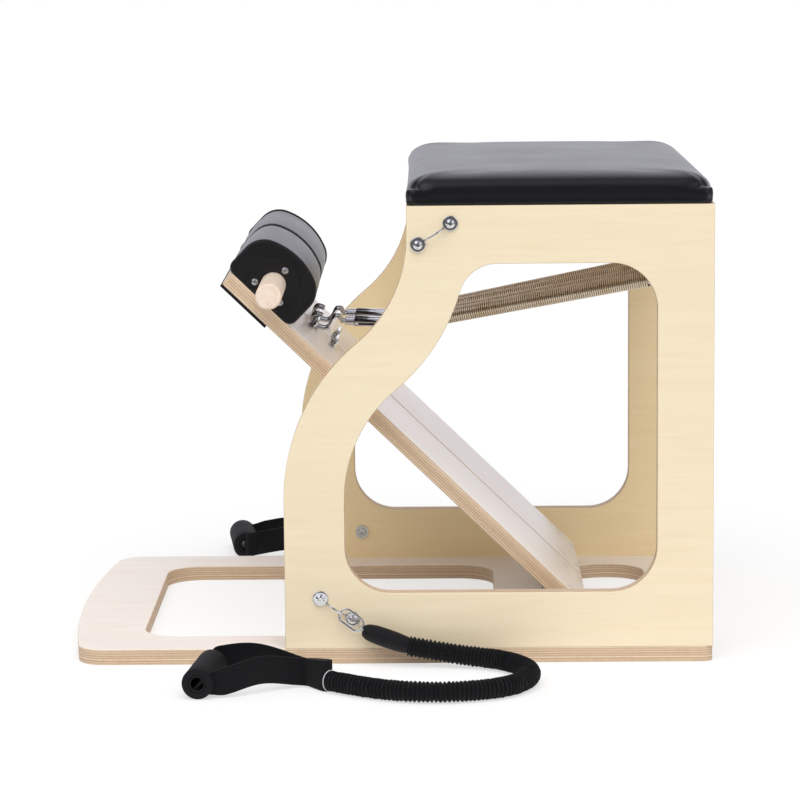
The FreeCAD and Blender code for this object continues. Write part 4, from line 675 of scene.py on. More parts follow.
def coil_recipe(sizes, height, material):
    """A close-wound spring: a round wire swept along a spiral that stands on the origin."""
    recipe = Recipe("spring_coil", {"Radius": sizes.coil_radius, "Wire": sizes.coil_wire,
                                    "Turns": sizes.coil_turns, "Height": height, "Material": material})
    spiral = recipe.node("GeometryNodeCurveSpiral", sockets={
        "Resolution": 22, "Rotations": recipe.given("Turns"), "Start Radius": recipe.given("Radius"),
        "End Radius": recipe.given("Radius"), "Height": recipe.given("Height")})
    coil = recipe.sweep(spiral, recipe.circle(8, recipe.given("Wire")))
    flat = recipe.node("ShaderNodeVectorMath", {"operation": "MULTIPLY"}, {
        0: recipe.node("GeometryNodeInputPosition"), 1: (1, 1, 0)})
    reach = recipe.node("ShaderNodeVectorMath", {"operation": "LENGTH"}, {0: flat}, output=1)
    # Each point keeps how far it stands out from the coil's middle radius, which the wire's finish reads for
    # its painted shade.
    recipe.finish(recipe.marked(coil, "proud", (reach - recipe.given("Radius")) / recipe.given("Wire")))
    return recipe


def spring_finish(name, base):
    """Oiled spring wire: straw-brown steel, with painted shade in the hollows between the turns."""
    finish = Finish(name, {"Metallic": 1.0})
    place = finish.coordinates()
    stain = finish.noise(place, 26.0, 4.0, 0.6)
    drawn = finish.noise(place, 900.0, 2.0, 0.6)
    proud = finish.attribute("proud").step(0.25, 0.95)
    wire = finish.mix(stain.step(0.35, 0.7), base, toned(base, 0.86, 0.80, 0.70))
    # Where the wire lies back from the coil's outside it is taken down to a tenth: painted shade between and
    # inside the turns.
    finish.paint(base_color=finish.mix(proud, shade(base, 0.10), wire),
                 roughness=0.13 + 0.12 * stain + 0.05 * drawn)
    finish.relief(drawn, 0.00003, 0.4)
    return finish.material


class PILATES_OT_springs(Operator):
    """Wind the four close-coiled springs between their plugs"""

    bl_idname = "pilates.springs"
    bl_label = "Springs"

    def execute(self, context):
        sizes, colours = context.scene.pilates_sizes, context.scene.pilates_colours
        material = spring_finish("oiled_spring_wire", tuple(colours.spring))
        for side, sign in SIDES.items():
            for rank, (front_y, rear_y) in SPRING_ROWS.items():
                front = Vector((SPRING_FRONT[0], -sign * front_y, SPRING_FRONT[1]))
                rear = Vector((SPRING_REAR[0], -sign * rear_y, SPRING_REAR[1]))
                way = (rear - front).normalized()
                first, last = front + way * FRONT_PLUG, rear - way * REAR_PLUG
                name = f"{side}_{rank}_coil"
                blank = placed(name, bpy.data.meshes.new(name))
                mesh = coil_recipe(sizes, (last - first).length, material).make(blank, name)
                mesh.transform(standing(first, way))
                coil = new_piece(name, mesh, material)
                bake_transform(coil)
                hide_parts(f"{side}_{rank}_spring")
        return {"FINISHED"}


def on_hook(along, up, y):
    """A point in a hook's own frame: along its tube from the pedal's loop, and up from there."""
    return HOOK_POINT + HOOK_TURN @ Vector((along, 0, up)) + Vector((0, y, 0))


def bridge(shape, rings):
    """Joins each closed ring of points to the next with a band of faces."""
    for one, two in zip(rings, rings[1:]):
        count = len(one)
        for k in range(count):
            shape.faces.new((one[k], one[(k + 1) % count], two[(k + 1) % count], two[k]))


def joined_mesh(name, meshes):
    """Several meshes as one; they are then removed."""
    shape = bmesh.new()
    for mesh in meshes:
        shape.from_mesh(mesh)
        bpy.data.meshes.remove(mesh)
    return finished_mesh(name, shape)


def slot_cutter(shape, y, out):
    """Adds a round-ended peg that slots a tube's outward wall, and a block that cuts its mouth."""
    block = bmesh.ops.create_cube(shape, size=TUBE_MOUTH_CUT)["verts"]
    middle = Matrix.Translation(on_hook(TUBE_MOUTH_MIDDLE, 0, y))
    bmesh.ops.transform(shape, verts=block, matrix=middle @ HOOK_TURN.to_4x4())
    corners = 16
    rings = []
    for reach in SLOT_REACH:
        ring = []
        for k in range(corners):
            angle = 2 * math.pi * (k + 0.5) / corners
            along = SLOT_ENDS[math.cos(angle) > 0] + SLOT_HALF * math.cos(angle)
            rise = SLOT_HALF * math.sin(angle)
            place = on_hook(along, rise * 0.9 - reach * SLOT_DROP, y + out * (reach + rise * SLOT_DROP))
            ring.append(shape.verts.new(place))
        rings.append(ring)
    bridge(shape, rings)
    shape.faces.new(rings[0])
    shape.faces.new(rings[1])


class PILATES_OT_hooks(Operator):
    """Bend the four snap hooks, and slot the tubes that their shanks slide in"""

    bl_idname = "pilates.hooks"
    bl_label = "Hooks"

    def execute(self, context):
        chrome = bpy.data.materials["bright_chrome"]
        axis = HOOK_TURN @ Vector((1, 0, 0))
        for side, sign in SIDES.items():
            meshes = []
            for y in (-sign * row for row in HOOK_ROWS):
                line = route_curve("hook_bend", [on_hook(along, up, y) for along, up in HOOK_BEND])
                meshes.append(round_recipe(HOOK_WIRE, chrome).make(line, "hook_bend"))
                collar = on_hook(COLLAR_START, 0, y)
                meshes.append(turned_mesh("hook_collar", COLLAR_PROFILE, collar, axis, 32))
                meshes.append(turned_mesh("hook_shank", SHANK_PROFILE, on_hook(0, 0, y), axis, 24))
            name = f"{side}_bent_hooks"
            hooks = new_piece(name, joined_mesh(name, meshes), chrome)
            settle(hooks, f"{side}_hooks", "chrome_wire", f"{side}_snap_hooks")
        tubes = new_piece("slotted_tubes", self.slotted(chrome), chrome)
        settle(tubes, "spring_fronts", "chrome_wire", "spring_ends")
        return {"FINISHED"}

    def slotted(self, chrome):
        """The CAD's tubes and plugs with a slot cut in each tube's wall."""
        shape = bmesh.new()
        shape.from_mesh(NODES["spring_ends"].data)
        shape.transform(NODES["spring_ends"].matrix_world)
        bmesh.ops.remove_doubles(shape, verts=shape.verts, dist=1e-6)
        tubes = new_piece("tubes", finished_mesh("tubes", shape), chrome)
        shape = bmesh.new()
        for sign in SIDES.values():
            for row in HOOK_ROWS:
                slot_cutter(shape, -sign * row, -sign)
        bmesh.ops.recalc_face_normals(shape, faces=shape.faces)
        pegs = placed("pegs", finished_mesh("pegs", shape))
        cut = tubes.modifiers.new("slots", "BOOLEAN")
        cut.object, cut.operation, cut.solver = pegs, "DIFFERENCE", "EXACT"
        mesh = plain_mesh(tubes, "slotted_tubes")
        bpy.data.objects.remove(pegs)
        return mesh


def sleeve_recipe(sizes, material):
    """A gathered sleeve along a cord: its radius swells and sinks once in each gather."""
    recipe = Recipe("gathered_sleeve", {"Radius": sizes.cord_diameter / 2, "Pitch": sizes.rib_pitch,
                                        "Depth": sizes.rib_depth, "Material": material})
    curve = recipe.node("GeometryNodeResampleCurve", {"mode": "LENGTH"}, {
        "Curve": recipe.given("Geometry"), "Length": recipe.given("Pitch") / 9})
    run = recipe.node("GeometryNodeSplineParameter", output="Length")
    curve = recipe.marked(curve, "along", run)
    uneven = recipe.node("ShaderNodeTexNoise", {"noise_dimensions": "1D"}, {
        "W": run, "Scale": 55.0, "Detail": 1.0})
    phase = run / recipe.given("Pitch") + uneven * 0.55
    swell = abs((phase * math.pi).sine()).math("POWER", 0.6)
    depth = recipe.given("Depth") * (0.75 + 0.5 * uneven)
    radius = recipe.given("Radius") - depth * (1 - swell)
    turn = recipe.node("GeometryNodeSplineParameter", output="Factor")
    girth = recipe.marked(recipe.circle(30, 1.0), "around", turn)
    tube = recipe.sweep(curve, girth, Scale=radius)
    crumple = recipe.node("ShaderNodeTexNoise", sockets={
        "Vector": recipe.node("GeometryNodeInputPosition"), "Scale": 210.0, "Detail": 2.0})
    outward = recipe.node("GeometryNodeInputNormal")
    push = recipe.node("ShaderNodeVectorMath", {"operation": "SCALE"}, {
        0: outward, "Scale": (crumple - 0.68) * 0.0022})
    recipe.finish(recipe.node("GeometryNodeSetPosition", sockets={"Geometry": tube, "Offset": push}))
    return recipe


def add_ribbon(shape, line, heights, thicknesses, rises, marks, start=0.0):
    """Sweeps a strip of webbing that stands on edge along a line and marks each corner's run and height."""
    rows, run = [], start
    for index, place in enumerate(line):
        ahead = line[min(index + 1, len(line) - 1)] - line[max(index - 1, 0)]
        across = Vector((ahead.y, -ahead.x, 0)).normalized()
        if index:
            run += (place - line[index - 1]).length
        half_h, half_t = heights[index] / 2, thicknesses[index] / 2
        bevel = min(STRAP_BEVEL, half_t / 2)
        ring = []
        for out, up in ((half_t, -half_h + bevel), (half_t, half_h - bevel), (half_t - bevel, half_h),
                        (bevel - half_t, half_h), (-half_t, half_h - bevel), (-half_t, bevel - half_h),
                        (bevel - half_t, -half_h), (half_t - bevel, -half_h)):
            corner = shape.verts.new(place + across * out + Vector((0, 0, up + rises[index])))
            corner[marks[0]], corner[marks[1]] = run, up
            ring.append(corner)
        rows.append(ring)
    bridge(shape, rows)
    shape.faces.new(rows[0])
    shape.faces.new(reversed(rows[-1]))
    return run


def ring_profile(radius, wire):
    """The profile of a round ring, for turned_mesh."""
    turns = (2 * math.pi * k / 12 for k in range(12))
    return [(radius + wire * math.cos(turn), wire * math.sin(turn)) for turn in turns]


def even_profile(end, run, waist=()):
    """A profile with two like ends, so far apart, and what lies between them."""
    return [*end, *waist, *((radius, run - place) for radius, place in reversed(end))]


def turned_mesh(name, profile, start, axis, segments=48):
    """Spins a closed profile of (radius, run) pairs round an axis; its faces meet at a radius of 0."""
    shape = bmesh.new()
    lie = standing(start, axis)
    rings = []
    for step in range(segments):
        angle = 2 * math.pi * step / segments
        rings.append([rings[0][k] if rings and not r
                      else shape.verts.new(lie @ Vector((r * math.cos(angle), r * math.sin(angle), z)))
                      for k, (r, z) in enumerate(profile)])
    count = len(profile)
    for step in range(segments):
        one, two = rings[step], rings[(step + 1) % segments]
        for k in range(count):
            corners = dict.fromkeys((one[k], two[k], two[(k + 1) % count], one[(k + 1) % count]))
            if len(corners) > 2:
                shape.faces.new(corners)
    bmesh.ops.recalc_face_normals(shape, faces=shape.faces)
    return finished_mesh(name, shape)


def turned_piece(name, profile, start, axis, material, slot, *nodes):
    """A turned piece that rides on the frame."""
    piece = new_piece(name, turned_mesh(name, profile, start, axis), material)
    settle(piece, "frame", slot, *nodes)
    return piece


def finished_mesh(name, shape, sharp=0.7):
    """Closes a bmesh into a smooth mesh that keeps edges sharper than an angle, in radians."""
    for face in shape.faces:
        face.smooth = True
    for edge in shape.edges:
        edge.smooth = len(edge.link_faces) != 2 or edge.calc_face_angle(0) < sharp
    mesh = bpy.data.meshes.new(name)
    shape.to_mesh(mesh)
    shape.free()
    return mesh


def strap_mesh(name, sizes, side):
    """A loop of webbing: a box sewn round the cord's end, and two legs to the grip.

    The near leg goes in at the grip's flank, and the far one goes round its end into its bore.
    """
    shape = bmesh.new()
    marks = [shape.verts.layers.float.new(word) for word in ("along", "around")]
    end, before = (Vector(p) for p in (CORD_ROUTE[-1], CORD_ROUTE[-2]))
    way = Vector((end.x - before.x, end.y - before.y, 0)).normalized()
    start = Vector((end.x, end.y, STRAP_MIDDLE))
    height = sizes.strap_height
    box = [*STRAP_BOX, (0.030, height, 0.0076), (0.034, height * 0.985, 0.0050)]
    runs, heights, thicknesses = zip(*box)
    line = [start + way * run for run in runs]
    sewn = add_ribbon(shape, line, heights, thicknesses, [STRAP_BOX_RISE] * len(box), marks)
    near, far = GRIP_ENDS
    axis = (far - near).normalized()
    flank = Vector((axis.y, -axis.x, 0))
    fork = start + way * 0.028
    legs = (
        ([fork, fork + way * 0.010, *NEAR_LEG, near + axis * 0.009 + flank * 0.012],
         ((0, 0), (0.52, 0.0105), (1, 0)), ((0, 1), (0.84, 1), (1, 0.80))),
        ([fork, fork + way * 0.012, *FAR_LEG, far - axis * 0.004, far - axis * 0.030],
         ((0, 0), (0.48, 0.0100), (1, 0)), ((0, 1), (0.76, 1), (0.90, 0.55), (1, 0.5))),
    )
    for points, arch, taper in legs:
        holder = route_curve("strap_line", [(p[0], p[1], STRAP_MIDDLE) for p in points], 10)
        line = line_points(holder)
        bpy.data.objects.remove(holder)
        steps = [0.0]
        for one, two in zip(line, line[1:]):
            steps.append(steps[-1] + (two - one).length)
        shares = [step / steps[-1] for step in steps]
        heights = [between(share, taper) * height for share in shares]
        rises = [between(share, arch) for share in shares]
        add_ribbon(shape, line, heights, [sizes.strap_thickness] * len(line), rises, marks, sewn)
    if side < 0:
        shape.transform(Matrix.Scale(-1, 4, (0, 1, 0)))
    bmesh.ops.recalc_face_normals(shape, faces=shape.faces)
    return finished_mesh(name, shape)


def between(share, stops):
    """A smooth value between the stops on either side of a share."""
    for (low, first), (high, second) in zip(stops, stops[1:]):
        if share <= high:
            step = (share - low) / (high - low)
            return first + (second - first) * step * step * (3 - 2 * step)
    return stops[-1][1]


class PILATES_OT_cords(Operator):
    """Lay the two gathered cords with their webbing straps and foam grips"""

    bl_idname = "pilates.cords"
    bl_label = "Cords"

    def execute(self, context):
        sizes, colours = context.scene.pilates_sizes, context.scene.pilates_colours
        sleeve = cloth_finish("gathered_sleeve", tuple(colours.sleeve), (5200, 260))
        webbing = cloth_finish("ribbed_webbing", tuple(colours.sleeve), (2600, 1200), 0.8)
        foam = foam_finish("grip_foam", tuple(colours.foam))
        tube = foam_finish("grip_tube", shade(colours.foam, 0.7), 0.42)
        clear = foam_finish("mouth_ring", tint(206, 206, 210), 0.35)
        rubber = foam_finish("boot_rubber", tuple(colours.foam), 0.62)
        chrome = metal_finish("lug_chrome", tuple(colours.chrome), 0.14, wear=0.06)
        for side, sign in SIDES.items():
            route = mirrored(CORD_ROUTE, sign)
            holder = route_curve(f"{side}_route", route)
            path = line_points(holder)
            name = f"{side}_sleeve"
            cord = new_piece(name, sleeve_recipe(sizes, sleeve).make(holder, name), sleeve)
            settle(cord, "frame", "black_sleeve", f"{side}_cord")
            name = f"{side}_webbing"
            strap = new_piece(name, strap_mesh(name, sizes, sign), webbing)
            settle(strap, "frame", "black_webbing", f"{side}_strap")

            mouth, lug_middle = mirrored((BOOT_MOUTH, LUG_MIDDLE), sign)
            boot_way = (route[0] - mouth).normalized()
            boot = turned_piece(f"{side}_cord_boot", BOOT_PROFILE, mouth, boot_way, rubber, "black_rubber",
                                f"{side}_cord_ferrule")
            lug = turned_piece(f"{side}_cord_lug", ring_profile(LUG_RADIUS, LUG_WIRE), lug_middle, LUG_AXIS,
                               chrome, "chrome_wire")

            first, last = mirrored(GRIP_ENDS, sign)
            run, axis = (last - first).length, (last - first).normalized()
            waist = ((GRIP_WAIST, run * 0.25), (GRIP_RADIUS, run * 0.5), (GRIP_WAIST, run * 0.75))
            turned_piece(f"{side}_foam_grip", even_profile(GRIP_END, run, waist), first, axis, foam,
                         "black_foam", f"{side}_grip")
            turned_piece(f"{side}_grip_tube", even_profile(GRIP_TUBE_END, run), first, axis, tube,
                         "black_foam")

            way = (path[-1] - path[-4]).normalized()
            ring = turned_piece(f"{side}_mouth_ring", ring_profile(MOUTH_RING_RADIUS, MOUTH_RING_WIRE),
                                path[-1] - way * MOUTH_RING_SET_BACK, way, clear, "bright_steel")
        return {"FINISHED"}


def inflate(piece, pinned, cap):
    """Blows a cover up like a filled cushion and holds each point within a cap of where it was sewn."""
    rest = [vertex.co.copy() for vertex in piece.data.vertices]
    group = piece.vertex_groups.new(name="pinned")
    group.add(pinned, 1.0, "REPLACE")
    cloth = piece.modifiers.new("cover", "CLOTH")
    cloth.settings.vertex_group_mass = "pinned"
    cloth.settings.use_pressure = True
    cloth.settings.uniform_pressure_force = 4.0
    cloth.settings.tension_stiffness = cloth.settings.compression_stiffness = 18
    cloth.settings.bending_stiffness = 4
    cloth.settings.effector_weights.gravity = 0
    cloth.collision_settings.use_collision = False
    cloth.point_cache.frame_end = 20
    scene = bpy.context.scene
    for step in range(1, 21):
        scene.frame_set(step)
    shown = piece.evaluated_get(bpy.context.evaluated_depsgraph_get())
    moved = [vertex.co.copy() for vertex in shown.data.vertices]
    piece.modifiers.remove(cloth)
    piece.vertex_groups.remove(group)
    for vertex, start, end in zip(piece.data.vertices, rest, moved):
        shift = end - start
        if shift.length > cap:
            shift *= cap / shift.length
        vertex.co = start + shift
    scene.frame_set(1)


def subdivide(piece):
    """Applies one level of subdivision."""
    smooth = piece.modifiers.new("smooth", "SUBSURF")
    smooth.levels = smooth.render_levels = 1
    mesh = bpy.data.meshes.new_from_object(piece.evaluated_get(bpy.context.evaluated_depsgraph_get()))
    piece.modifiers.remove(smooth)
    old, piece.data = piece.data, mesh
    mesh.name = piece.name
    bpy.data.meshes.remove(old)
    for polygon in mesh.polygons:
        polygon.use_smooth = True


def cushion_mesh(name, sizes, low, high):
    """The seat's cover: swelling sides, broad rounded shoulders, a crowned top and a flat underside."""
    across, deep = 64, 102
    shoulder, side_height, corner = 0.034, 0.020, 0.012
    side_rows = (0.05, 0.15, 0.3, 0.45, 0.6, 0.75, 0.88)
    rise = high.z - low.z - side_height - sizes.cushion_crown - sizes.swell_cap
    middle, half = (low + high) / 2, (high - low) / 2 - Vector((1, 1, 0)) * sizes.side_bulge
    tuck = 0.0055 * half.x

    def spaced(share):
        """-1 to 1 with closer steps towards its ends."""
        return 0.4 * (2 * share - 1) + 0.6 * math.sin(math.pi * (share - 0.5))

    def plan(i, j):
        """A point of the plan, with the corners rounded and the sides drawn in a little."""
        u, v = spaced(i / across), spaced(j / deep)
        x, y = u * half.x, v * half.y
        over_x, over_y = (abs(x) - half.x + corner) / corner, (abs(y) - half.y + corner) / corner
        if over_x > 0 and over_y > 0:
            x = math.copysign(half.x - corner + corner * over_x * math.sqrt(1 - over_y ** 2 / 2), x)
            y = math.copysign(half.y - corner + corner * over_y * math.sqrt(1 - over_x ** 2 / 2), y)
        x -= math.copysign(sizes.cushion_pull * max(0, over_x) * (1 - v ** 4), x)
        y -= math.copysign(sizes.cushion_pull * max(0, over_y) * (1 - u ** 4), y)
        return u, v, x, y

    def crest(u, v, x, y):
        """The cover's height over its underside at a point of the plan."""
        lean_x = max(0.0, 1 - (half.x - abs(x)) / shoulder)
        lean_y = max(0.0, 1 - (half.y - abs(y)) / shoulder)
        lean = min(1.0, math.hypot(lean_x, lean_y))
        crown = sizes.cushion_crown * (1 - u ** 2) * (1 - v ** 2)
        return side_height + rise * math.sqrt(1 - lean ** 2) + crown

    shape = bmesh.new()
    top, under = {}, {}
    for i in range(across + 1):
        for j in range(deep + 1):
            u, v, x, y = plan(i, j)
            top[i, j] = shape.verts.new((middle.x + x, middle.y + y, low.z + crest(u, v, x, y)))
            in_x, in_y = x * (1 - tuck / half.x), y * (1 - tuck / half.y)
            under[i, j] = shape.verts.new((middle.x + in_x, middle.y + in_y, low.z))
    for i in range(across):
        for j in range(deep):
            cell = ((i, j), (i + 1, j), (i + 1, j + 1), (i, j + 1))
            shape.faces.new([top[k] for k in cell])
            shape.faces.new([under[k] for k in reversed(cell)])
    border = ([(i, 0) for i in range(across)] + [(across, j) for j in range(deep)]
              + [(i, deep) for i in range(across, 0, -1)] + [(0, j) for j in range(deep, 0, -1)])
    rows = [[under[k] for k in border]]
    for share in side_rows:
        row, out = [], sizes.side_bulge * math.sin(math.pi * share) ** 0.7
        for k in border:
            place = under[k].co.lerp(top[k].co, share)
            place.x += (place.x - middle.x) * out / half.x
            place.y += (place.y - middle.y) * out / half.y
            row.append(shape.verts.new(place))
        rows.append(row)
    rows.append([top[k] for k in border])
    bridge(shape, rows)
    bmesh.ops.recalc_face_normals(shape, faces=shape.faces)
    return finished_mesh(name, shape, ALL_SMOOTH)


def crease_corners(mesh, low, high):
    """Presses the fold that gathers the cover at each upright corner of the seat, between two low ridges."""
    reach = 0.060
    fold_depth, fold_width = 0.0013, 0.0032
    ridge_height, ridge_width, ridge_place = 0.0006, 0.0035, 0.0075
    for vertex in mesh.vertices:
        place = vertex.co
        dx = min(place.x - low.x, high.x - place.x)
        dy = min(place.y - low.y, high.y - place.y)
        inward, aside = (dx + dy) / math.sqrt(2), (dx - dy) / math.sqrt(2)
        if place.z < low.z + SEAT_HEM or inward > reach:
            continue
        fold = fold_depth * math.exp(-(aside / fold_width) ** 2)
        ridge = ridge_height * math.exp(-((abs(aside) - ridge_place) / ridge_width) ** 2)
        vertex.co = place - vertex.normal * (fold - ridge) * (1 - inward / reach)


class PILATES_OT_seat_cushion(Operator):
    """Sew, fill and crease the seat cushion"""

    bl_idname = "pilates.seat_cushion"
    bl_label = "Seat Cushion"

    def execute(self, context):
        sizes, colours = context.scene.pilates_sizes, context.scene.pilates_colours
        material = leather_finish("seat_leatherette", tuple(colours.leatherette))
        low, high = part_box("seat_cushion")
        cover = new_piece("seat_cover", cushion_mesh("seat_cover", sizes, low, high), material)
        held = [v.index for v in cover.data.vertices if v.co.z < low.z + SEAT_HEM]
        inflate(cover, held, sizes.swell_cap)
        subdivide(cover)
        crease_corners(cover.data, low, high)
        settle(cover, "frame", "leatherette", "seat_cushion")
        return {"FINISHED"}


def on_pedal(x, y, z):
    """A point of the pedal's own frame, up the board, across it and square to it, in the chair's frame."""
    return PEDAL_END + PEDAL_TURN @ Vector((x, y, z))


def arc_points(centre, radius, first, last, count):
    """Points round an arc between two angles, without the last one."""
    turns = (first + (last - first) * k / count for k in range(count))
    return [(centre[0] + radius * math.cos(a), centre[1] + radius * math.sin(a)) for a in turns]


def pad_outline(grow=0.0):
    """The roller's crowned section on the board, as (along the board, above it) pairs."""
    middle, corner = PAD_MIDDLE, PAD_CORNER
    half, height, dome, shoulder = (size + grow for size in PAD_SECTION)
    reach = math.sqrt((dome - shoulder) ** 2 - (half - shoulder) ** 2)
    top, lean = height - dome + reach, math.atan2(reach, half - shoulder)
    flat = half - corner
    points = [(middle - flat + 2 * flat * k / 18, 0.0) for k in range(18)]
    points += arc_points((middle + flat, corner), corner, -math.pi / 2, 0, 5)
    points += [(middle + half, corner + (top - corner) * k / 5) for k in range(5)]
    points += arc_points((middle + half - shoulder, top), shoulder, 0, lean, 10)
    points += arc_points((middle, height - dome), dome, lean, math.pi - lean, 26)
    points += arc_points((middle - half + shoulder, top), shoulder, math.pi - lean, math.pi, 10)
    points += [(middle - half, top - (top - corner) * k / 5) for k in range(5)]
    points += arc_points((middle - flat, corner), corner, math.pi, math.pi * 1.5, 5)
    return points


def pad_mesh(name, sizes, side):
    """A roller's cover between its two seams, a little fuller in the middle."""
    outline = pad_outline(-0.0008)
    centre = Vector((PAD_MIDDLE, 0.029))
    inner, outer = PAD_INNER_SEAM, PAD_OUTER_SEAM
    end, steps, foot = 0.004, 36, 0.02
    runs = [(0, 0.05), (0, 0.35), (0, 0.7), (0, 0.955), (0.0012, 0.985), (end, 0.998)]
    stations = [(inner + run, share, 0.0) for run, share in runs]
    for share in (k / steps for k in range(1, steps)):
        run = end + (outer - inner - 2 * end) * share
        stations.append((inner + run, 1.0, math.sin(math.pi * share) ** 0.6))
    stations += [(outer - run, share, 0.0) for run, share in reversed(runs)]
    shape = bmesh.new()
    rings = []
    for y, share, crown in stations:
        ring = []
        for x, z in outline:
            spread = Vector((x, z)) - centre
            full = sizes.pad_crown * crown * min(1.0, z / foot)
            flat = centre + spread * share + spread.normalized() * full
            ring.append(shape.verts.new(on_pedal(flat.x, -side * y, max(flat.y, 0.0))))
        rings.append(ring)
    bridge(shape, rings)
    shape.faces.new(rings[0])
    shape.faces.new(reversed(rings[-1]))
    bmesh.ops.recalc_face_normals(shape, faces=shape.faces)
    return finished_mesh(name, shape, ALL_SMOOTH)


def cap_circle():
    """The ring on an end cap, where it clears the board, as (along the board, above it) pairs."""
    points = arc_points(CAP_CIRCLE_MIDDLE, CAP_CIRCLE_RADIUS, 0, 2 * math.pi, 64)
    return [(x, z) for x, z in points if z > 0.002]


class PILATES_OT_rollers(Operator):
    """Cover the two foot rollers, with their piping and embossed end caps"""

    bl_idname = "pilates.rollers"
    bl_label = "Rollers"

    def execute(self, context):
        sizes, colours = context.scene.pilates_sizes, context.scene.pilates_colours
        leather = leather_finish("roller_leatherette", tuple(colours.leatherette), 0.30)
        board = leather_finish("cap_leatherette", shade(colours.leatherette, 0.9), 0.36)
        for side, sign in SIDES.items():
            body = f"{side}_pedal"
            name = f"{side}_roller_cover"
            cover = new_piece(name, pad_mesh(name, sizes, sign), leather)
            up = PEDAL_TURN @ Vector((0, 0, 1))
            first, last = PAD_FREE
            held = [v.index for v in cover.data.vertices
                    if (v.co - PEDAL_END).dot(up) < PAD_HEM or not first < abs(v.co.y) < last]
            inflate(cover, held, sizes.swell_cap * 0.5)
            subdivide(cover)
            settle(cover, body, "leatherette", f"{side}_roller_pad")
            dress(board, f"{side}_end_cap")
            lines = {word: (sizes.welt * share, y, pad_outline(grow))
                     for word, (share, y, grow) in PAD_PIPING.items()}
            lines["cap_circle"] = (CAP_CIRCLE_WIRE, CAP_CIRCLE_PLACE, cap_circle())
            for word, (radius, y, outline) in lines.items():
                name = f"{side}_{word}"
                line = closed_line(name, [on_pedal(x, -sign * y, z) for x, z in outline])
                piping = new_piece(name, round_recipe(radius, board).make(line, name), board)
                settle(piping, body, "leatherette")
        return {"FINISHED"}


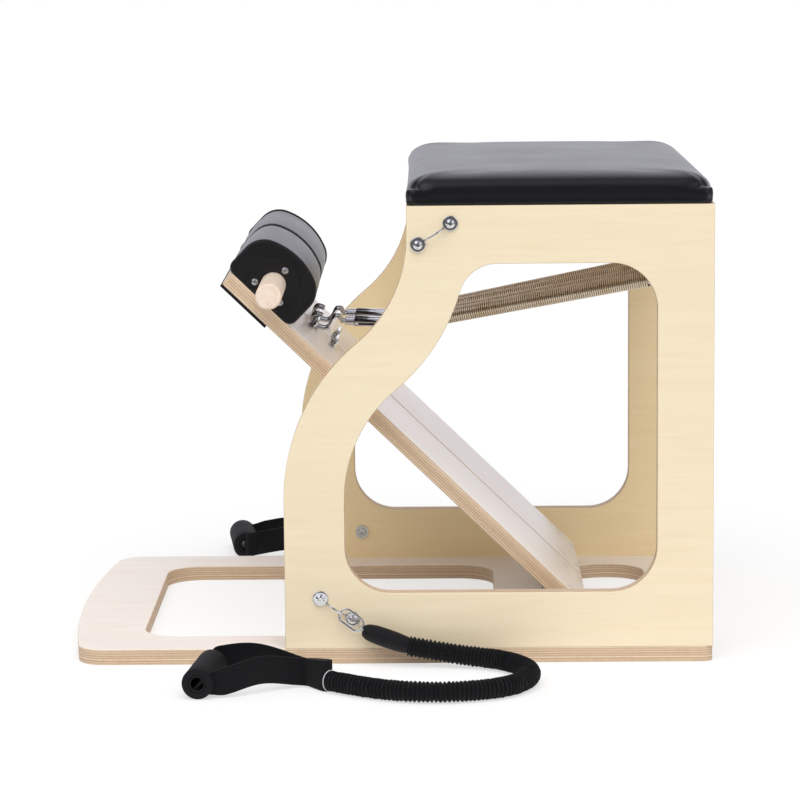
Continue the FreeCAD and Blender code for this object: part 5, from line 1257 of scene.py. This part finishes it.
class PILATES_OT_stage(Operator):
    """Set the pale floor, the soft studio light and the camera"""

    bl_idname = "pilates.stage"
    bl_label = "Stage"

    def execute(self, context):
        stage = context.scene.pilates_stage
        self.floor()
        self.surroundings(context.scene, stage)
        lamp = bpy.data.lights.new("soft_sun", "SUN")
        lamp.energy, lamp.angle = stage.sun, SUN_SPREAD
        sun = placed("soft_sun", lamp)
        sun.rotation_euler = SUN_DIRECTION.to_track_quat("-Z", "Y").to_euler()
        sun.visible_glossy = False
        self.camera(context.scene, stage)
        context.scene.view_settings.view_transform = "Standard"
        return {"FINISHED"}

    def bright(self, tree):
        """1 for a ray that should see white surroundings, from the camera or by way of metal or glass."""
        seen = tree.node("ShaderNodeLightPath", output="Is Camera Ray")
        for name in ("Is Glossy Ray", "Is Transmission Ray"):
            seen = seen.math("MAXIMUM", tree.node("ShaderNodeLightPath", output=name))
        return seen

    def floor(self):
        """A wide floor: white to the camera, with the chair's shadow, and dark in front of it to chrome."""
        shape = bmesh.new()
        bmesh.ops.create_grid(shape, x_segments=2, y_segments=2, size=FLOOR_HALF)
        floor = placed("floor", finished_mesh("floor", shape))
        material = bpy.data.materials.new("pale_floor")
        material.use_nodes = True
        tree = NodeTree(material.node_tree)
        tree.tree.nodes.clear()
        matt = tree.node("ShaderNodeBsdfDiffuse", sockets={"Color": (0.96, 0.96, 0.965)})
        glow = tree.node("ShaderNodeEmission", sockets={"Color": (1, 1, 1), "Strength": FLOOR_GLOW})
        dark = tree.node("ShaderNodeEmission", sockets={"Color": (1, 1, 1), "Strength": DARK_FLOOR})
        white = self.bright(tree) * FLOOR_GLOW_SHARE
        pale = tree.node("ShaderNodeMixShader", sockets={0: white, 1: matt, 2: glow})
        place = tree.node("ShaderNodeNewGeometry")
        y = tree.node("ShaderNodeSeparateXYZ", sockets={"Vector": place}, output=1)
        mirror = tree.node("ShaderNodeLightPath", output="Is Glossy Ray")
        ahead = mirror * (1 - y.step(*DARK_FLOOR_EDGE))
        both = tree.node("ShaderNodeMixShader", sockets={0: ahead, 1: pale, 2: dark})
        tree.feed(tree.tree.nodes.new("ShaderNodeOutputMaterial"), {"Surface": both})
        floor.data.materials.append(material)
        return floor

    def surroundings(self, scene, stage):
        """A white room that lights the chair softly, and that chrome sees as a studio with softboxes."""
        world = bpy.data.worlds.new("white_room")
        world.use_nodes = True
        tree = NodeTree(world.node_tree)
        tree.tree.nodes.clear()
        mirror = tree.node("ShaderNodeLightPath", output="Is Glossy Ray")
        heading = tree.node("ShaderNodeTexCoord", output="Generated")
        away = tree.node("ShaderNodeSeparateXYZ", sockets={"Vector": heading}, output=1)
        room = DARK_ROOM + (1 - DARK_ROOM) * away.step(0.25, 0.72)
        for lamp, strength in SOFTBOXES:
            aim = tree.node("ShaderNodeVectorMath", {"operation": "DOT_PRODUCT"}, {
                0: heading, 1: Vector(lamp).normalized()}, output=1)
            room = room + aim.step(*SOFTBOX_EDGE) * strength
        room = 1 + mirror * (room - 1)
        level = stage.ambient + (room - stage.ambient) * self.bright(tree)
        cool = tree.node("ShaderNodeMix", {"data_type": "RGBA"}, {
            0: mirror, 6: (1, 1, 1), 7: COOL_TINT}, output=2)
        sky = tree.node("ShaderNodeBackground", sockets={"Color": cool, "Strength": level})
        tree.feed(tree.tree.nodes.new("ShaderNodeOutputWorld"), {"Surface": sky})
        scene.world = world

    def camera(self, scene, stage):
        lens = bpy.data.cameras.new("camera")
        lens.lens, lens.sensor_width = stage.lens, 36.0
        turn = (Matrix.Rotation(stage.camera_yaw, 4, "Z")
                @ Matrix.Rotation(math.pi / 2 - stage.camera_pitch, 4, "X")
                @ Matrix.Rotation(stage.camera_roll, 4, "Z"))
        scene.camera = placed("camera", lens)
        scene.camera.matrix_world = Matrix.Translation(stage.camera_place) @ turn


STEPS = (PILATES_OT_stage, PILATES_OT_woodwork, PILATES_OT_metalwork, PILATES_OT_cords, PILATES_OT_springs,
         PILATES_OT_hooks, PILATES_OT_seat_cushion, PILATES_OT_rollers)


class VIEW3D_PT_pilates_chair(Panel):
    """The chair's looks, step by step."""

    bl_label = "Pilates Chair"
    bl_space_type = "VIEW_3D"
    bl_region_type = "UI"
    bl_category = "Pilates Chair"

    def draw(self, context):
        for title, kind in GROUPS.items():
            box = self.layout.box()
            for name in kind.__annotations__:
                box.prop(getattr(context.scene, title), name)
        for step in STEPS:
            self.layout.operator(step.bl_idname)


GROUPS = {"pilates_colours": PilatesChairColours, "pilates_sizes": PilatesChairSizes,
          "pilates_stage": PilatesChairStage}
CLASSES = (*GROUPS.values(), *STEPS, VIEW3D_PT_pilates_chair)


def register():
    for kind in CLASSES:
        bpy.utils.register_class(kind)
    for name, group in GROUPS.items():
        setattr(bpy.types.Scene, name, PointerProperty(type=group))


def unregister():
    for name in GROUPS:
        delattr(bpy.types.Scene, name)
    for kind in reversed(CLASSES):
        bpy.utils.unregister_class(kind)


def main():
    register()
    for step in STEPS:
        area, name = step.bl_idname.split(".")
        getattr(getattr(bpy.ops, area), name)()
    bpy.context.view_layer.update()


if __name__ == "__main__":
    main()
